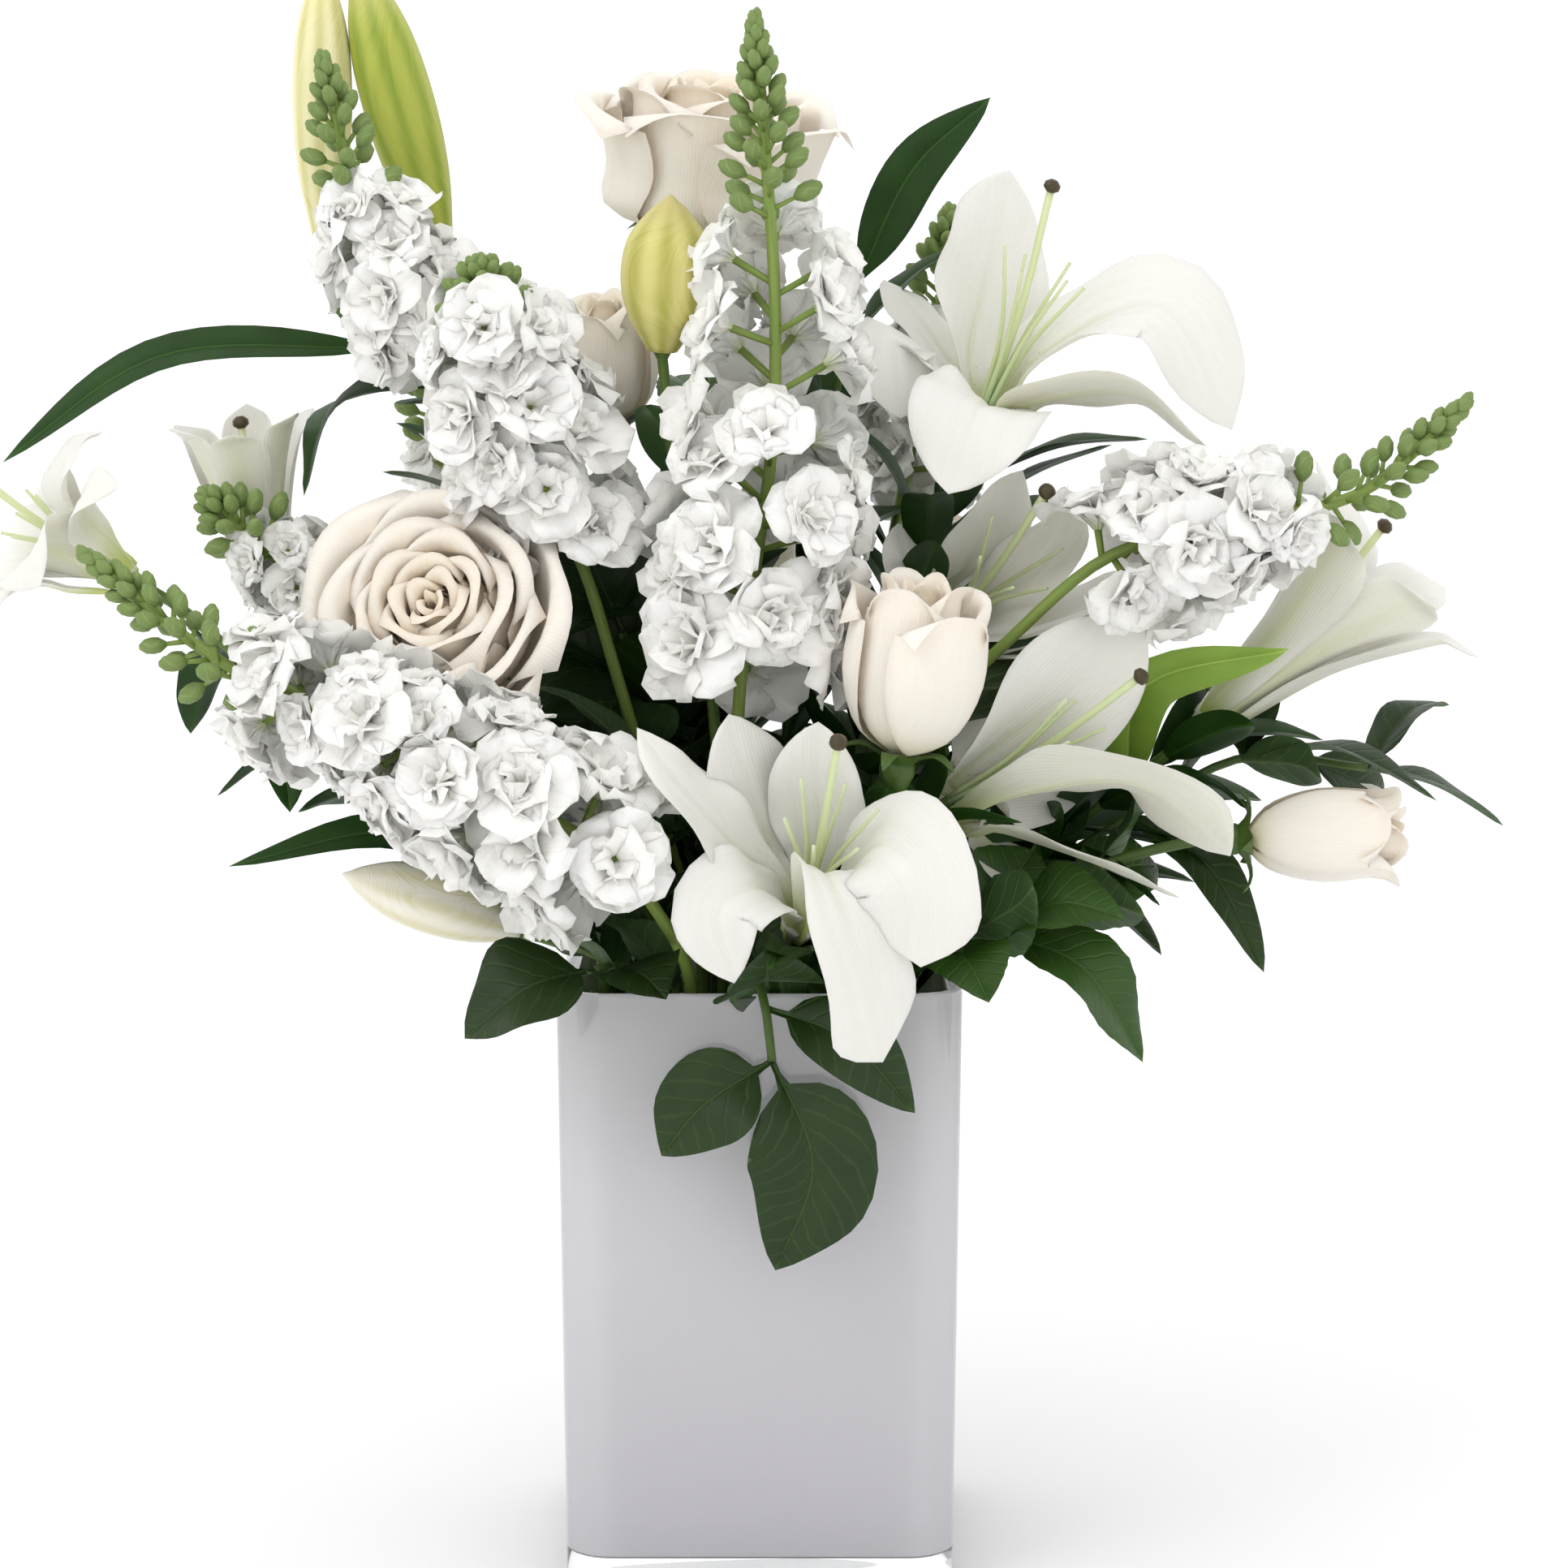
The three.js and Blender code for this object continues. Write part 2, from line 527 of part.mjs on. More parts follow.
// A double floret is one corolla: broad petals that spread and narrow ones that stand up, by turns. Each
// rim point is [share of one repeat, share of the length, lean from the axis in degrees].
const FLORET_RIM = [[0.1, 0.98, 60], [0.5, 1.04, 74], [0.8, 0.74, 22]];
const FLORET_TURNS = 3; // how often the rim repeats
const FLORET_DEPTH = 5.5; // how far its foot reaches down
const FLORET_LEAN = 74; // degrees from the spike's own axis
const FLORET_SIZES = [1, 0.7]; // from the lowest on the spike to the highest, as shares
function floret(root, out, size, turn) {
  const frame = frameAt(root, out);
  const rim = evenly(0, FLORET_TURNS - 1, FLORET_TURNS).flatMap((step) =>
    FLORET_RIM.map(([offset, share, tilt]) => {
      const way = spoke(frame, turn + ((step + offset) * 360) / FLORET_TURNS);
      return ahead(placeOf(frame), lean(axisOf(frame), way, tilt), share * size);
    }),
  );
  return loft([[ahead(root, out, -FLORET_DEPTH)], rim, [ahead(root, out, 1.2)]]);
}

const FLORET_WAYS = [1, 0.85, 0.7, 0.55, 0.4]; // a crowded floret is smaller and sits nearer the stem

function stockSpike({ name, line, florets, to, core, size }) {
  const curve = curveThrough(line);
  const radii = STOCK.core.map((share) => share * core);
  const coreLine = evenly(0, to, 4).map((u) => curve.getPointAt(u));
  const heads = evenly(0.5 / florets, 1 - 0.5 / florets, florets).map((share, i) => {
    const frame = frameAt(curve.getPointAt(to * share), curve.getTangentAt(to * share));
    const out = lean(axisOf(frame), spoke(frame, GOLDEN * i), FLORET_LEAN);
    const [low, spread] = [Math.floor(share * 3), (share * 3) % 1];
    const reach = radii[low] * (1 - spread) + radii[low + 1] * spread + 2;
    const length = size * between(FLORET_SIZES, share);
    return firstClear(`${name} floret ${i}`, FLORET_WAYS, (way) =>
      floret(ahead(placeOf(frame), out, reach), out, length * way, 50 * i),
    );
  });
  return fuse(name, [tube(coreLine, radii, 6), ...solidsOf(heads)]);
}

// The green buds that end a spike, packed round the stem. Each pair is for the lowest and the last.
const STOCK_BUD = { lean: [64, 6], length: [16, 11], radius: [3.2, 2.2] };
function stockBuds({ name, line, to, buds }) {
  const curve = curveThrough(line);
  const found = evenly(1 / buds, 1, buds).map((share, i) => {
    const u = to + 0.05 + (0.95 - to) * Math.sqrt(share);
    const frame = frameAt(curve.getPointAt(u), curve.getTangentAt(u));
    const out = lean(axisOf(frame), spoke(frame, GOLDEN * i), between(STOCK_BUD.lean, share));
    const length = between(STOCK_BUD.length, share);
    return firstClear(`${name} bud ${i}`, [1, 0.75], (way) => {
      const bud = [0, 0.6, 1].map((reach) => ahead(placeOf(frame), out, way * reach * length));
      return tube(bud, [0, between(STOCK_BUD.radius, share), 0], 3);
    }, [`${name}_florets`]);
  });
  return solidsOf(found);
}

// ---------------------------------------------------------------- stems
const SHIFTS = [0, 6, -6, 12, -12, 18, -18, 26, -26];
const byLength = (shifts) => shifts.sort((a, b) => Math.hypot(...a) - Math.hypot(...b));
const ROUTES = byLength(SHIFTS.flatMap((x) => SHIFTS.map((y) => [x, y])));
const UPPER_STATIONS = 5;

const mouthPoint = ([x, y]) => new THREE.Vector3(x, y, MOUTH_Z);
const footPoint = ([x, y]) => new THREE.Vector3(x * FOOT_SHARE, y * FOOT_SHARE, FOOT_Z);
const straightPoint = (mouth) =>
  footPoint(mouth).lerp(mouthPoint(mouth), (STRAIGHT_Z - FOOT_Z) / (MOUTH_Z - FOOT_Z));

// A stem's centre points: straight from its foot through the water, then a curve by its place in
// the vase's mouth and a point half way up, which may shift to let it pass.
function stemCentres(mouth, end, [dx, dy], stations) {
  const middle = mouthPoint(mouth).lerp(vec(end[0]), 0.5).add(new THREE.Vector3(dx, dy, 0));
  const curve = curveThrough([straightPoint(mouth), mouthPoint(mouth), middle, ...end]);
  return [footPoint(mouth), ...curve.getSpacedPoints(stations)];
}

const wells = []; // the holes that the stems stand in, in the water

function sunk(mouth, radius) {
  const [foot, top] = [footPoint(mouth), straightPoint(mouth)];
  foot.z -= 2;
  wells.push(tube([foot, top], [radius + WELL, radius + WELL]));
}

// A stem that finds its own way to its end, with a tail of further [centre, radius] stations.
function growStem(name, { mouth, end, radius, tail = [], own = [], stations = UPPER_STATIONS }) {
  const upper = evenly(radius, 0.85 * radius, stations + 1);
  const radii = [radius, ...upper, ...tail.map(([, thickness]) => thickness)];
  const centresBy = (way) => [...stemCentres(mouth, end, way, stations), ...tail.map(([at]) => at)];
  const found = firstClear(`${name} route`, ROUTES, (way) => tube(centresBy(way), radii), own);
  const centres = centresBy(found?.way ?? [0, 0]);
  sunk(mouth, radius);
  return { centres, radii, solid: tube(centres, radii) };
}

// ---------------------------------------------------------------- leaves
const NUDGES = [0, 7, -7, 14, -14, 22, -22];
const LEAF_NUDGES = byLength(NUDGES.flatMap((y) => NUDGES.map((z) => [y, z])));
const LEAF_WAYS = [1, 0.7].flatMap((size) => LEAF_NUDGES.map((nudge) => [size, ...nudge]));
const LEAF_SHAPES = {
  salal: [2, 34, 29, 0],
  rose: [2, 27, 22, 0],
  lance: [2, 16, 13, 0],
  ruscus: [2, 18, 14, 0],
};

// A leaf from its root to its tip, bowed by `bow` on the way. A crowded leaf shifts its middle and
// tip backward or forward and up or down, and if that isn't enough it is smaller.
function leaf(name, root, { tip, bow = [0, 0, 8], kind, wide = 1, face = [0, 0, 1] }, own) {
  return firstClear(name, LEAF_WAYS, ([size, dy, dz]) => {
    const shift = new THREE.Vector3(0, dy, dz);
    const middle = vec(root).lerp(vec(tip), 0.5 * size);
    middle.addScaledVector(vec(bow), size).addScaledVector(shift, 0.6);
    const end = vec(root).lerp(vec(tip), size).add(shift);
    const widths = LEAF_SHAPES[kind].map((width) => width * wide * size);
    return blade({ path: [root, middle, end], face, widths, cup: 0.18, wave: 0.8 });
  }, own);
}

// A lily's own long leaves, up the stem by the golden angle, each out and upward.
const LANCE_ROOTS = [-3, -4];
const LANCE_REACH = 58;
const LANCE_TURN = [20, 125]; // where the first lily's leaves start, and the turn to the next lily's
const lanceLeaves = (centres, first, roots = LANCE_ROOTS) =>
  roots.map((at, i) => {
    const turn = (first + GOLDEN * i) * DEG;
    const out = new THREE.Vector3(Math.cos(turn), Math.sin(turn), 0.45);
    return { at, tip: ahead(centres.at(at), out, LANCE_REACH), kind: "lance" };
  });

// Leaves by their tips. `at` counts the stem's centre points from its end.
const PAIR_LEAVES = [
  { at: -4, tip: [-190, 44, 262], kind: "lance" },
  { at: -5, tip: [-150, -14, 244], kind: "lance", wide: 1.2 },
];
const BUD_TOP_LEAVES = [
  { at: -4, tip: [-244, 12, 354], bow: [-10, 0, 16], kind: "lance", wide: 0.9, face: [0.3, -0.8, 0.8] },
  { at: -5, tip: [-146, 0, 344], bow: [-10, -6, 12], kind: "lance", wide: 1.5, face: [-1, -0.6, 0.3] },
];
const SPRAYS = {
  bud_centre_stem: { mouth: [-12, -12], bud: "bud_centre", radius: 2.3, material: STEM_GREEN, leaves: [
    { at: -4, tip: [-64, -20, 300], kind: "lance", wide: 1.3 },
  ] },
  bud_low_left_stem: { mouth: [-50, -30], bud: "bud_low_left", radius: 2.3, material: STEM_GREEN, leaves: [
    { at: -4, tip: [-182, -42, 290], bow: [-8, 0, -8], kind: "lance", wide: 1.2 },
    { at: -4, tip: [-168, -36, 222], bow: [0, 8, 22], kind: "lance", wide: 0.9, face: [0.3, -0.8, 0.8] },
  ] },
  salal_front: { mouth: [-4, -54], end: [[-1, -64, 202], [2, -73, 192], [4, -76, 176]], leaves: [
    { at: -1, tip: [-30, -80, 147], bow: [-4, -5, 2], kind: "salal", wide: 0.8, face: [0, -1, 0.3] },
    { at: -1, tip: [5, -84, 112], bow: [12, -8, 2], kind: "salal", wide: 1.05, face: [0, -1, 0.3] },
    { at: -2, tip: [48, -78, 160], bow: [2, -8, 8], kind: "salal", wide: 0.6, face: [0, -1, 0.3] },
  ] },
  salal_left: { mouth: [-40, -52], end: [[-44, -62, 204], [-50, -68, 203]], leaves: [
    { at: -1, tip: [-90, -80, 184], bow: [0, -4, 6], kind: "salal", wide: 1, face: [0, -0.6, 1] },
    { at: -2, tip: [-28, -84, 204], bow: [0, -6, 4], kind: "salal", wide: 0.8, face: [0, -0.6, 1] },
  ] },
  rose_leaves_right: { mouth: [42, -46], end: [[58, -52, 208], [73, -50, 212]], leaves: [
    { at: -1, tip: [120, -54, 171], bow: [4, -6, 10], kind: "rose", wide: 1.1, face: [0, -0.5, 1] },
    { at: -1, tip: [112, -66, 226], bow: [0, -4, 8], kind: "rose", wide: 1.1, face: [0, -0.6, 1] },
    { at: -2, tip: [70, -84, 196], bow: [0, -6, 4], kind: "rose", face: [0, -0.6, 1] },
    { at: -1, tip: [86, -40, 250], bow: [0, 0, 4], kind: "rose", wide: 1.2, face: [0, -1, 0.4] },
    { at: -3, tip: [98, -24, 206], kind: "rose", wide: 1.1 },
  ] },
  ruscus_right: { mouth: [50, -8], end: [[120, 4, 240], [160, 4, 260], [196, 2, 256]], leaves: [
    { at: -1, tip: [240, -2, 238], bow: [0, 0, 4], kind: "ruscus" },
    { at: -1, tip: [226, 26, 274], kind: "ruscus", wide: 0.9 },
    { at: -2, tip: [214, -28, 236], kind: "ruscus", wide: 0.9 },
    { at: -2, tip: [166, 34, 286], kind: "ruscus" },
    { at: -3, tip: [150, 36, 232], kind: "ruscus", wide: 1.2 },
    { at: -3, tip: [162, -14, 192], bow: [4, 0, 8], kind: "lance", face: [0, -1, 1] },
    { at: -4, tip: [128, -26, 200], kind: "ruscus", wide: 1.3 },
  ] },
  leaf_top: { mouth: [0, 32], end: [[20, 32, 350], [32, 28, 412]], leaves: [
    { at: -1, tip: [74, 24, 470], bow: [-4, 0, 6], kind: "lance", wide: 1.1, face: [0.4, -1, 0.4] },
    { at: -2, tip: [14, 66, 398], kind: "salal", wide: 0.8 },
    { at: -3, tip: [60, 64, 330], kind: "salal" },
  ] },
  salal_middle: { mouth: [-16, 16], end: [[-34, 8, 262], [-44, 0, 300]], leaves: [
    { at: -1, tip: [-70, -10, 342], kind: "salal", wide: 0.9, face: [0, -1, 0.3] },
    { at: -2, tip: [-28, -26, 318], kind: "salal", wide: 0.8, face: [0, -1, 0.3] },
    { at: -3, tip: [-92, -6, 262], kind: "salal", wide: 1.2, face: [0, -1, 0.6] },
    { at: -3, tip: [-8, -24, 250], kind: "salal", wide: 1.2, face: [0, -1, 0.6] },
    { at: -2, tip: [-88, -2, 300], kind: "salal", wide: 1.2, face: [0, -1, 0.4] },
    { at: -2, tip: [-4, 4, 330], kind: "salal", wide: 1.3, face: [0, -1, 0.4] },
    { at: -4, tip: [-70, -20, 232], kind: "salal", wide: 1.2, face: [0, -1, 0.5] },
  ] },
  salal_back: { mouth: [12, 50], end: [[14, 76, 226], [20, 104, 238]], leaves: [
    { at: -1, tip: [30, 150, 214], kind: "salal" },
    { at: -1, tip: [78, 126, 250], kind: "salal" },
    { at: -2, tip: [-30, 118, 232], kind: "salal" },
    { at: -3, tip: [54, 92, 206], kind: "salal", wide: 0.9 },
  ] },
};

// ---------------------------------------------------------------- blooms, placed first
const lilies = Object.entries(LILIES).map(([name, lily]) => ({ name, ...unit(lily) }));
const pairedLilies = Object.entries(LILY_PAIR).map(([name, lily]) => ({ name, ...unit(lily) }));
const roses = Object.entries(ROSES).map(([name, rose]) => ({ name, ...unit(rose) }));
const stocks = Object.entries(STOCKS).map(([name, stock]) => ({ name, ...stock }));

for (const lily of [...lilies, ...pairedLilies]) {
  place(`${lily.name}_bloom`, lilyBloom(lily), LILY_WHITE, lily.base);
}
for (const [name, bud] of Object.entries(BUDS)) place(name, lilyBud(bud), bud.color, bud.base);
for (const rose of roses) place(`${rose.name}_bloom`, roseBloom(rose), ROSE_CREAM, rose.base);
for (const stock of stocks) place(`${stock.name}_florets`, stockSpike(stock), STOCK_WHITE, stock.line[0]);

// ---------------------------------------------------------------- stems, which bend round the blooms
const stalkEnd = ({ base, axis }) => ({
  end: [ahead(base, axis, -LILY.stalk), vec(base)],
  tail: [[ahead(base, axis, LILY.nub), LILY.stem]],
});
const hipEnd = ({ base, axis }) => ({
  end: [ahead(base, axis, -ROSE.straight), ahead(base, axis, -ROSE.swell)],
  tail: [[ahead(base, axis, -ROSE.hipDepth), ROSE.hip], [ahead(base, axis, -GAP), ROSE.neck]],
});
const budEnd = ({ base, tip }) => {
  const along = vec(tip).sub(vec(base)).normalize();
  return {
    end: [ahead(base, along, -BUD_STALK.straight), ahead(base, along, -GAP - 1.5)],
    tail: [[ahead(base, along, -GAP), BUD_STALK.neck]],
  };
};

// The leaves wait until every stem stands.
const waiting = []; // { name, centres, leaves }
function stand(name, material, mouth, pieces, centres, leaves = [], own = []) {
  place(name, fuse(name, pieces), material, footPoint(mouth), own);
  waiting.push({ name, centres, leaves });
}

for (const [i, lily] of lilies.entries()) {
  const name = `${lily.name}_stem`;
  const own = [`${lily.name}_bloom`];
  const grown = growStem(name, { mouth: lily.mouth, radius: LILY.stem, ...stalkEnd(lily), own });
  const first = LANCE_TURN[0] + LANCE_TURN[1] * i;
  const leaves = [...lanceLeaves(grown.centres, first, lily.leafRoots), ...(lily.leaves ?? [])];
  stand(name, STEM_GREEN, lily.mouth, [grown.solid, ...lilyCentre(lily)], grown.centres, leaves);
}
for (const rose of roses) {
  const name = `${rose.name}_stem`;
  const own = [`${rose.name}_bloom`];
  const grown = growStem(name, { mouth: rose.mouth, radius: ROSE.stem, ...hipEnd(rose), own });
  stand(name, STEM_GREEN, rose.mouth, [grown.solid, ...roseSepals(rose)], grown.centres);
}
for (const stock of stocks) {
  const name = `${stock.name}_stem`;
  const own = [`${stock.name}_florets`];
  const buds = stockBuds(stock);
  const stations = UPPER_STATIONS + 3;
  const grown = growStem(name, { mouth: stock.mouth, radius: STOCK.stem, end: stock.line, own, stations });
  stand(name, PALE_GREEN, stock.mouth, [grown.solid, ...buds], grown.centres, [], own);
  const channel = tube(grown.centres, grown.radii.map((radius) => radius + 2 * GAP));
  const spike = placed.find((each) => each.name === own[0]);
  spike.solid = whole(name, spike.solid.subtract(channel).subtract(wasm.Manifold.union(buds)));
}

// Two heads on one stem: the second grows on a branch from one of the stem's centre points.
function growFork(name, { mouth, joint, ends: [first, second], extras = [], own, leaves }) {
  const grown = growStem(name, { mouth, radius: LILY.stem, ...first, own });
  const from = grown.centres[joint];
  const middle = vec(from).lerp(second.end[0], 0.5).add(new THREE.Vector3(0, 0, -4));
  const tail = second.tail.map(([centre]) => centre);
  const centres = [...curveThrough([from, middle, ...second.end]).getSpacedPoints(4), ...tail];
  const radii = [...evenly(BRANCH, BRANCH, 5), ...second.tail.map(([, radius]) => radius)];
  stand(name, STEM_GREEN, mouth, [grown.solid, tube(centres, radii), ...extras], centres, leaves);
}

growFork("lily_pair_stem", {
  mouth: [-48, 6], joint: 5, ends: pairedLilies.map(stalkEnd).reverse(),
  own: pairedLilies.map(({ name }) => `${name}_bloom`),
  extras: pairedLilies.flatMap(lilyCentre), leaves: PAIR_LEAVES,
});
growFork("bud_top_stem", {
  mouth: [-32, 34], joint: 5, ends: [BUDS.bud_top_green, BUDS.bud_top_cream].map(budEnd),
  own: ["bud_top_green", "bud_top_cream"], leaves: BUD_TOP_LEAVES,
});
for (const [name, spray] of Object.entries(SPRAYS)) {
  const { mouth, end, bud, leaves, radius = 1.9, material = LEAF_GREEN } = spray;
  const stop = bud ? budEnd(BUDS[bud]) : { end: end.map(vec) };
  const grown = growStem(name, { mouth, radius, ...stop, own: bud ? [bud] : [] });
  stand(name, material, mouth, [grown.solid], grown.centres, leaves);
}

// ---------------------------------------------------------------- leaves, which bend round everything
for (const { name, centres, leaves } of waiting) {
  const stem = placed.find((each) => each.name === name);
  const found = leaves.map((each, i) => leaf(`${name} leaf ${i}`, centres.at(each.at), each, [name]));
  stem.solid = fuse(name, [stem.solid, ...solidsOf(found)]);
}

// ---------------------------------------------------------------- water and the finished bouquet
const WATER_INSET = LINING_INSET + LINING + GAP;
const water = vaseBlock(WATER_INSET, FOOT_Z, WATER_TOP).subtract(wasm.Manifold.union(wells));
place("water", whole("water", water), WATER, [0, 0, 0], placed.map(({ name }) => name));

// A mesh whose own origin is the piece's root.
function meshOf({ name, solid: finished, material, root }) {
  const { numVert, numProp, vertProperties, triVerts } = finished.getMesh();
  const positions = new Float32Array(numVert * 3);
  for (let i = 0; i < numVert; i++) {
    positions.set(vertProperties.subarray(i * numProp, i * numProp + 3), i * 3);
  }
  const geometry = new THREE.BufferGeometry();
  geometry.setAttribute("position", new THREE.BufferAttribute(positions, 3));
  geometry.setIndex(new THREE.BufferAttribute(new Uint32Array(triVerts), 1));
  geometry.translate(-root.x, -root.y, -root.z);
  geometry.computeVertexNormals();
  const mesh = new THREE.Mesh(geometry, material);
  mesh.name = name;
  mesh.position.copy(root);
  return mesh;
}

const bouquet = new THREE.Group();
bouquet.name = "lilies_in_vase";
bouquet.add(...placed.map(meshOf));

problems.forEach((problem) => console.warn(problem));

export default bouquet;
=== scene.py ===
# %% [markdown]
# # White lilies, stocks and roses in a square glass vase
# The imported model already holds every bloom, stem and leaf as a plain solid in its right place.
# This lesson grows a finer piece in the place of each solid, from the same midlines and rings.
# They could be sculpted by hand, but a piece that grows from a few numbers is easy to change and
# comes out the same each time. Lengths are in millimetres until a mesh is made in metres.

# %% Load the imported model
import math
import random

import bpy
import numpy as np
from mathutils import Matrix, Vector, kdtree
from mathutils.bvhtree import BVHTree


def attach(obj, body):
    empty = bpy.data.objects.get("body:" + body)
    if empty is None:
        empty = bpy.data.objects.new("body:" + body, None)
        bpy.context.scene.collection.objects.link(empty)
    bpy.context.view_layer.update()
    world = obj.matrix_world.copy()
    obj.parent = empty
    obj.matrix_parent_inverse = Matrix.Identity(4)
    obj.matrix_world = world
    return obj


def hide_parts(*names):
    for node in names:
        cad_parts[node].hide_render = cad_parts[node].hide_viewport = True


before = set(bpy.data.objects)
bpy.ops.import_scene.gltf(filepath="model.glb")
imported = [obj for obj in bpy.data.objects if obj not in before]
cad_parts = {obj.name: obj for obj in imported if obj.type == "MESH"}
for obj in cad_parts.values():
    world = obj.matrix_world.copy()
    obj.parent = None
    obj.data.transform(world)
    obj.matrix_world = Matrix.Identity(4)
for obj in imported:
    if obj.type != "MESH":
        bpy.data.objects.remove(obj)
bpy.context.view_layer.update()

MM = 0.001

# %% [markdown]
# ## Points and curves
# A petal, a leaf and a stem each follow a midline, which is a smooth curve through a few points.
# A Bezier curve would need handles beside its points. A Catmull-Rom curve passes through every
# point it is given, so a flower can be laid out by the places that its petals reach. The curve is
# measured by its own length, so even steps stay even.

# %% Curves through points
UP = np.array([0.0, 0.0, 1.0])
BACK = np.array([0.0, 1.0, 0.0])
GOLDEN = 137.5  # degrees from one leaf, petal or floret to the next


def vec(point):
    return np.array(point, float)


def unit(v):
    return v / np.linalg.norm(v)


def sideways(v, along):
    """The part of v that is square to the unit vector along, as a unit vector."""
    return unit(v - along * np.dot(v, along))


class Curve:
    """A Catmull-Rom curve, read at a share u of its length."""

    SAMPLES = 200
    NUDGE = 1e-4  # the small change of share that gives a direction

    def __init__(self, points):
        points = [vec(p) for p in points]
        self.count = len(points)
        self.ends = np.array([2 * points[0] - points[1], *points, 2 * points[-1] - points[-2]])
        self.shares = np.linspace(0, 1, self.SAMPLES + 1)
        steps = np.linalg.norm(np.diff(self.raw(self.shares), axis=0), axis=1)
        self.lengths = np.concatenate([[0], np.cumsum(steps)])
        self.length = self.lengths[-1]

    def raw(self, t):
        place = np.atleast_1d(t) * (self.count - 1)
        i = np.minimum(place.astype(int), self.count - 2)
        w = (place - i)[:, None]
        a, b, c, d = (self.ends[i + k] for k in range(4))
        t0, t1 = 0.5 * (c - a), 0.5 * (d - b)
        return b + t0 * w + (3 * (c - b) - 2 * t0 - t1) * w**2 + (2 * (b - c) + t0 + t1) * w**3

    def share(self, u):
        return np.interp(u * self.length, self.lengths, self.shares)

    def at(self, u):
        return self.raw(self.share(u))[0]

    def along(self, u):
        t = self.share(u)
        return unit((self.raw(min(1, t + self.NUDGE)) - self.raw(max(0, t - self.NUDGE)))[0])

    def spaced(self, steps):
        return list(self.raw(self.share(np.linspace(0, 1, steps + 1))))


test = Curve([(0, 0, 0), (10, 0, 5), (20, 0, 0)])
print("a test curve is", round(test.length, 2), "mm long")

# %% [markdown]
# ## Seats and leans
# A bloom sits on its stalk at any tilt, and its petals stand round its axis like spokes. It could
# be built upright and turned afterwards. Here each has a seat, a place with three square
# directions, so every point is worked out in its place and can be compared with the solids.

# %% Seats, spokes and leans
# A seat is (place, x, y, z): z along an axis, and x as near to straight up as it can be, or to
# the back on an upright axis.
def frame_at(at, axis):
    z = unit(vec(axis))
    x = sideways(BACK if abs(z[2]) > 0.95 else UP, z)
    return vec(at), x, np.cross(z, x), z


def spoke(seat, degrees):
    _, x, y, _ = seat
    return math.cos(math.radians(degrees)) * x + math.sin(math.radians(degrees)) * y


def lean(axis, out, degrees):
    return math.cos(math.radians(degrees)) * axis + math.sin(math.radians(degrees)) * out


def leaning(start, axis, out, length, angles):
    """A midline of equal steps that lean from the axis towards a spoke by each angle in turn."""
    points = [vec(start)]
    for angle in angles:
        points.append(points[-1] + lean(axis, out, angle) * (length / len(angles)))
    return points


def along_list(values, u):
    """A value read smoothly from a list of evenly spaced ones, at a share u of the list."""
    at = np.linspace(0, 1, len(values))
    slopes = np.gradient(values, at)
    i = min(int(u * (len(values) - 1)), len(values) - 2)
    step = at[1]
    w = (u - at[i]) / step
    a, b, p, q = values[i], values[i + 1], slopes[i] * step, slopes[i + 1] * step
    return a + p * w + (3 * (b - a) - 2 * p - q) * w**2 + (2 * (a - b) + p + q) * w**3


upright = frame_at((0, 0, 0), UP)
print("a quarter turn round an upright seat points to", spoke(upright, 90).round(2))

# %% [markdown]
# ## Skins
# A petal is a thin closed skin: a grid of points for each side, which share their outer points. A
# sheet with a modifier that thickens it would be quicker, but has a square edge, and a petal
# thins out. Each point carries how far along and across its petal it lies, as a share and in mm,
# and its petal's shade number. The materials read these to place throats, ribs and veins.

# %% Collecting the skins of one piece
FACTS = ("along", "across", "mm_along", "mm_across", "shade")


class Skin:
    """Collects thin blades and tubes for one piece."""

    def __init__(self, name):
        self.name = name
        self.points, self.faces, self.slots, self.facts, self.sharp = [], [], [], [], []
        self.total = 0

    def add(self, points, facts, faces, slots, sharp):
        self.faces += [[i + self.total for i in face] for face in faces]
        self.slots += slots
        self.points.append(points)
        self.facts.append(facts)
        self.sharp.append(sharp)
        self.total += len(points)

    def finish(self, finishes, *nodes, slot):
        """Makes the mesh and lets it stand for its CAD nodes."""
        mesh = bpy.data.meshes.new(self.name)
        mesh.from_pydata((np.concatenate(self.points) * MM).tolist(), [], self.faces)
        facts = np.concatenate(self.facts)
        for i, fact in enumerate(FACTS):
            layer = mesh.attributes.new(fact, "FLOAT", "POINT")
            layer.data.foreach_set("value", facts[:, i].astype(np.float32))
        mesh.polygons.foreach_set("use_smooth", np.ones(len(self.faces), bool))
        for finish in finishes:
            mesh.materials.append(finish)
        mesh.polygons.foreach_set("material_index", np.array(self.slots, np.int32))
        rim = np.concatenate(self.sharp)
        ends = np.zeros(len(mesh.edges) * 2, np.int32)
        mesh.edges.foreach_get("vertices", ends)
        sharp = mesh.attributes.new("sharp_edge", "BOOLEAN", "EDGE")
        sharp.data.foreach_set("value", rim[ends].reshape(-1, 2).all(1))
        mesh.update()
        piece = bpy.data.objects.new(self.name, mesh)
        bpy.context.scene.collection.objects.link(piece)
        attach(piece, "root")
        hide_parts(*nodes)
        return piece


print("each point of a skin carries:", ", ".join(FACTS))

# %% [markdown]
# ### Blades
# The upper and lower side meet in one shared edge. It is marked sharp, so each side is shaded
# smoothly by itself and the edge stays crisp. A blade that ends in a point closes to one corner
# there, because a row of corners in one place would shade badly.

# %% Laying a blade
POINTED = 0.3  # mm, the widest end that closes to one corner
FULL_BODY = 1.6  # a blade keeps its thickness until near its edge, and thins out over the rest


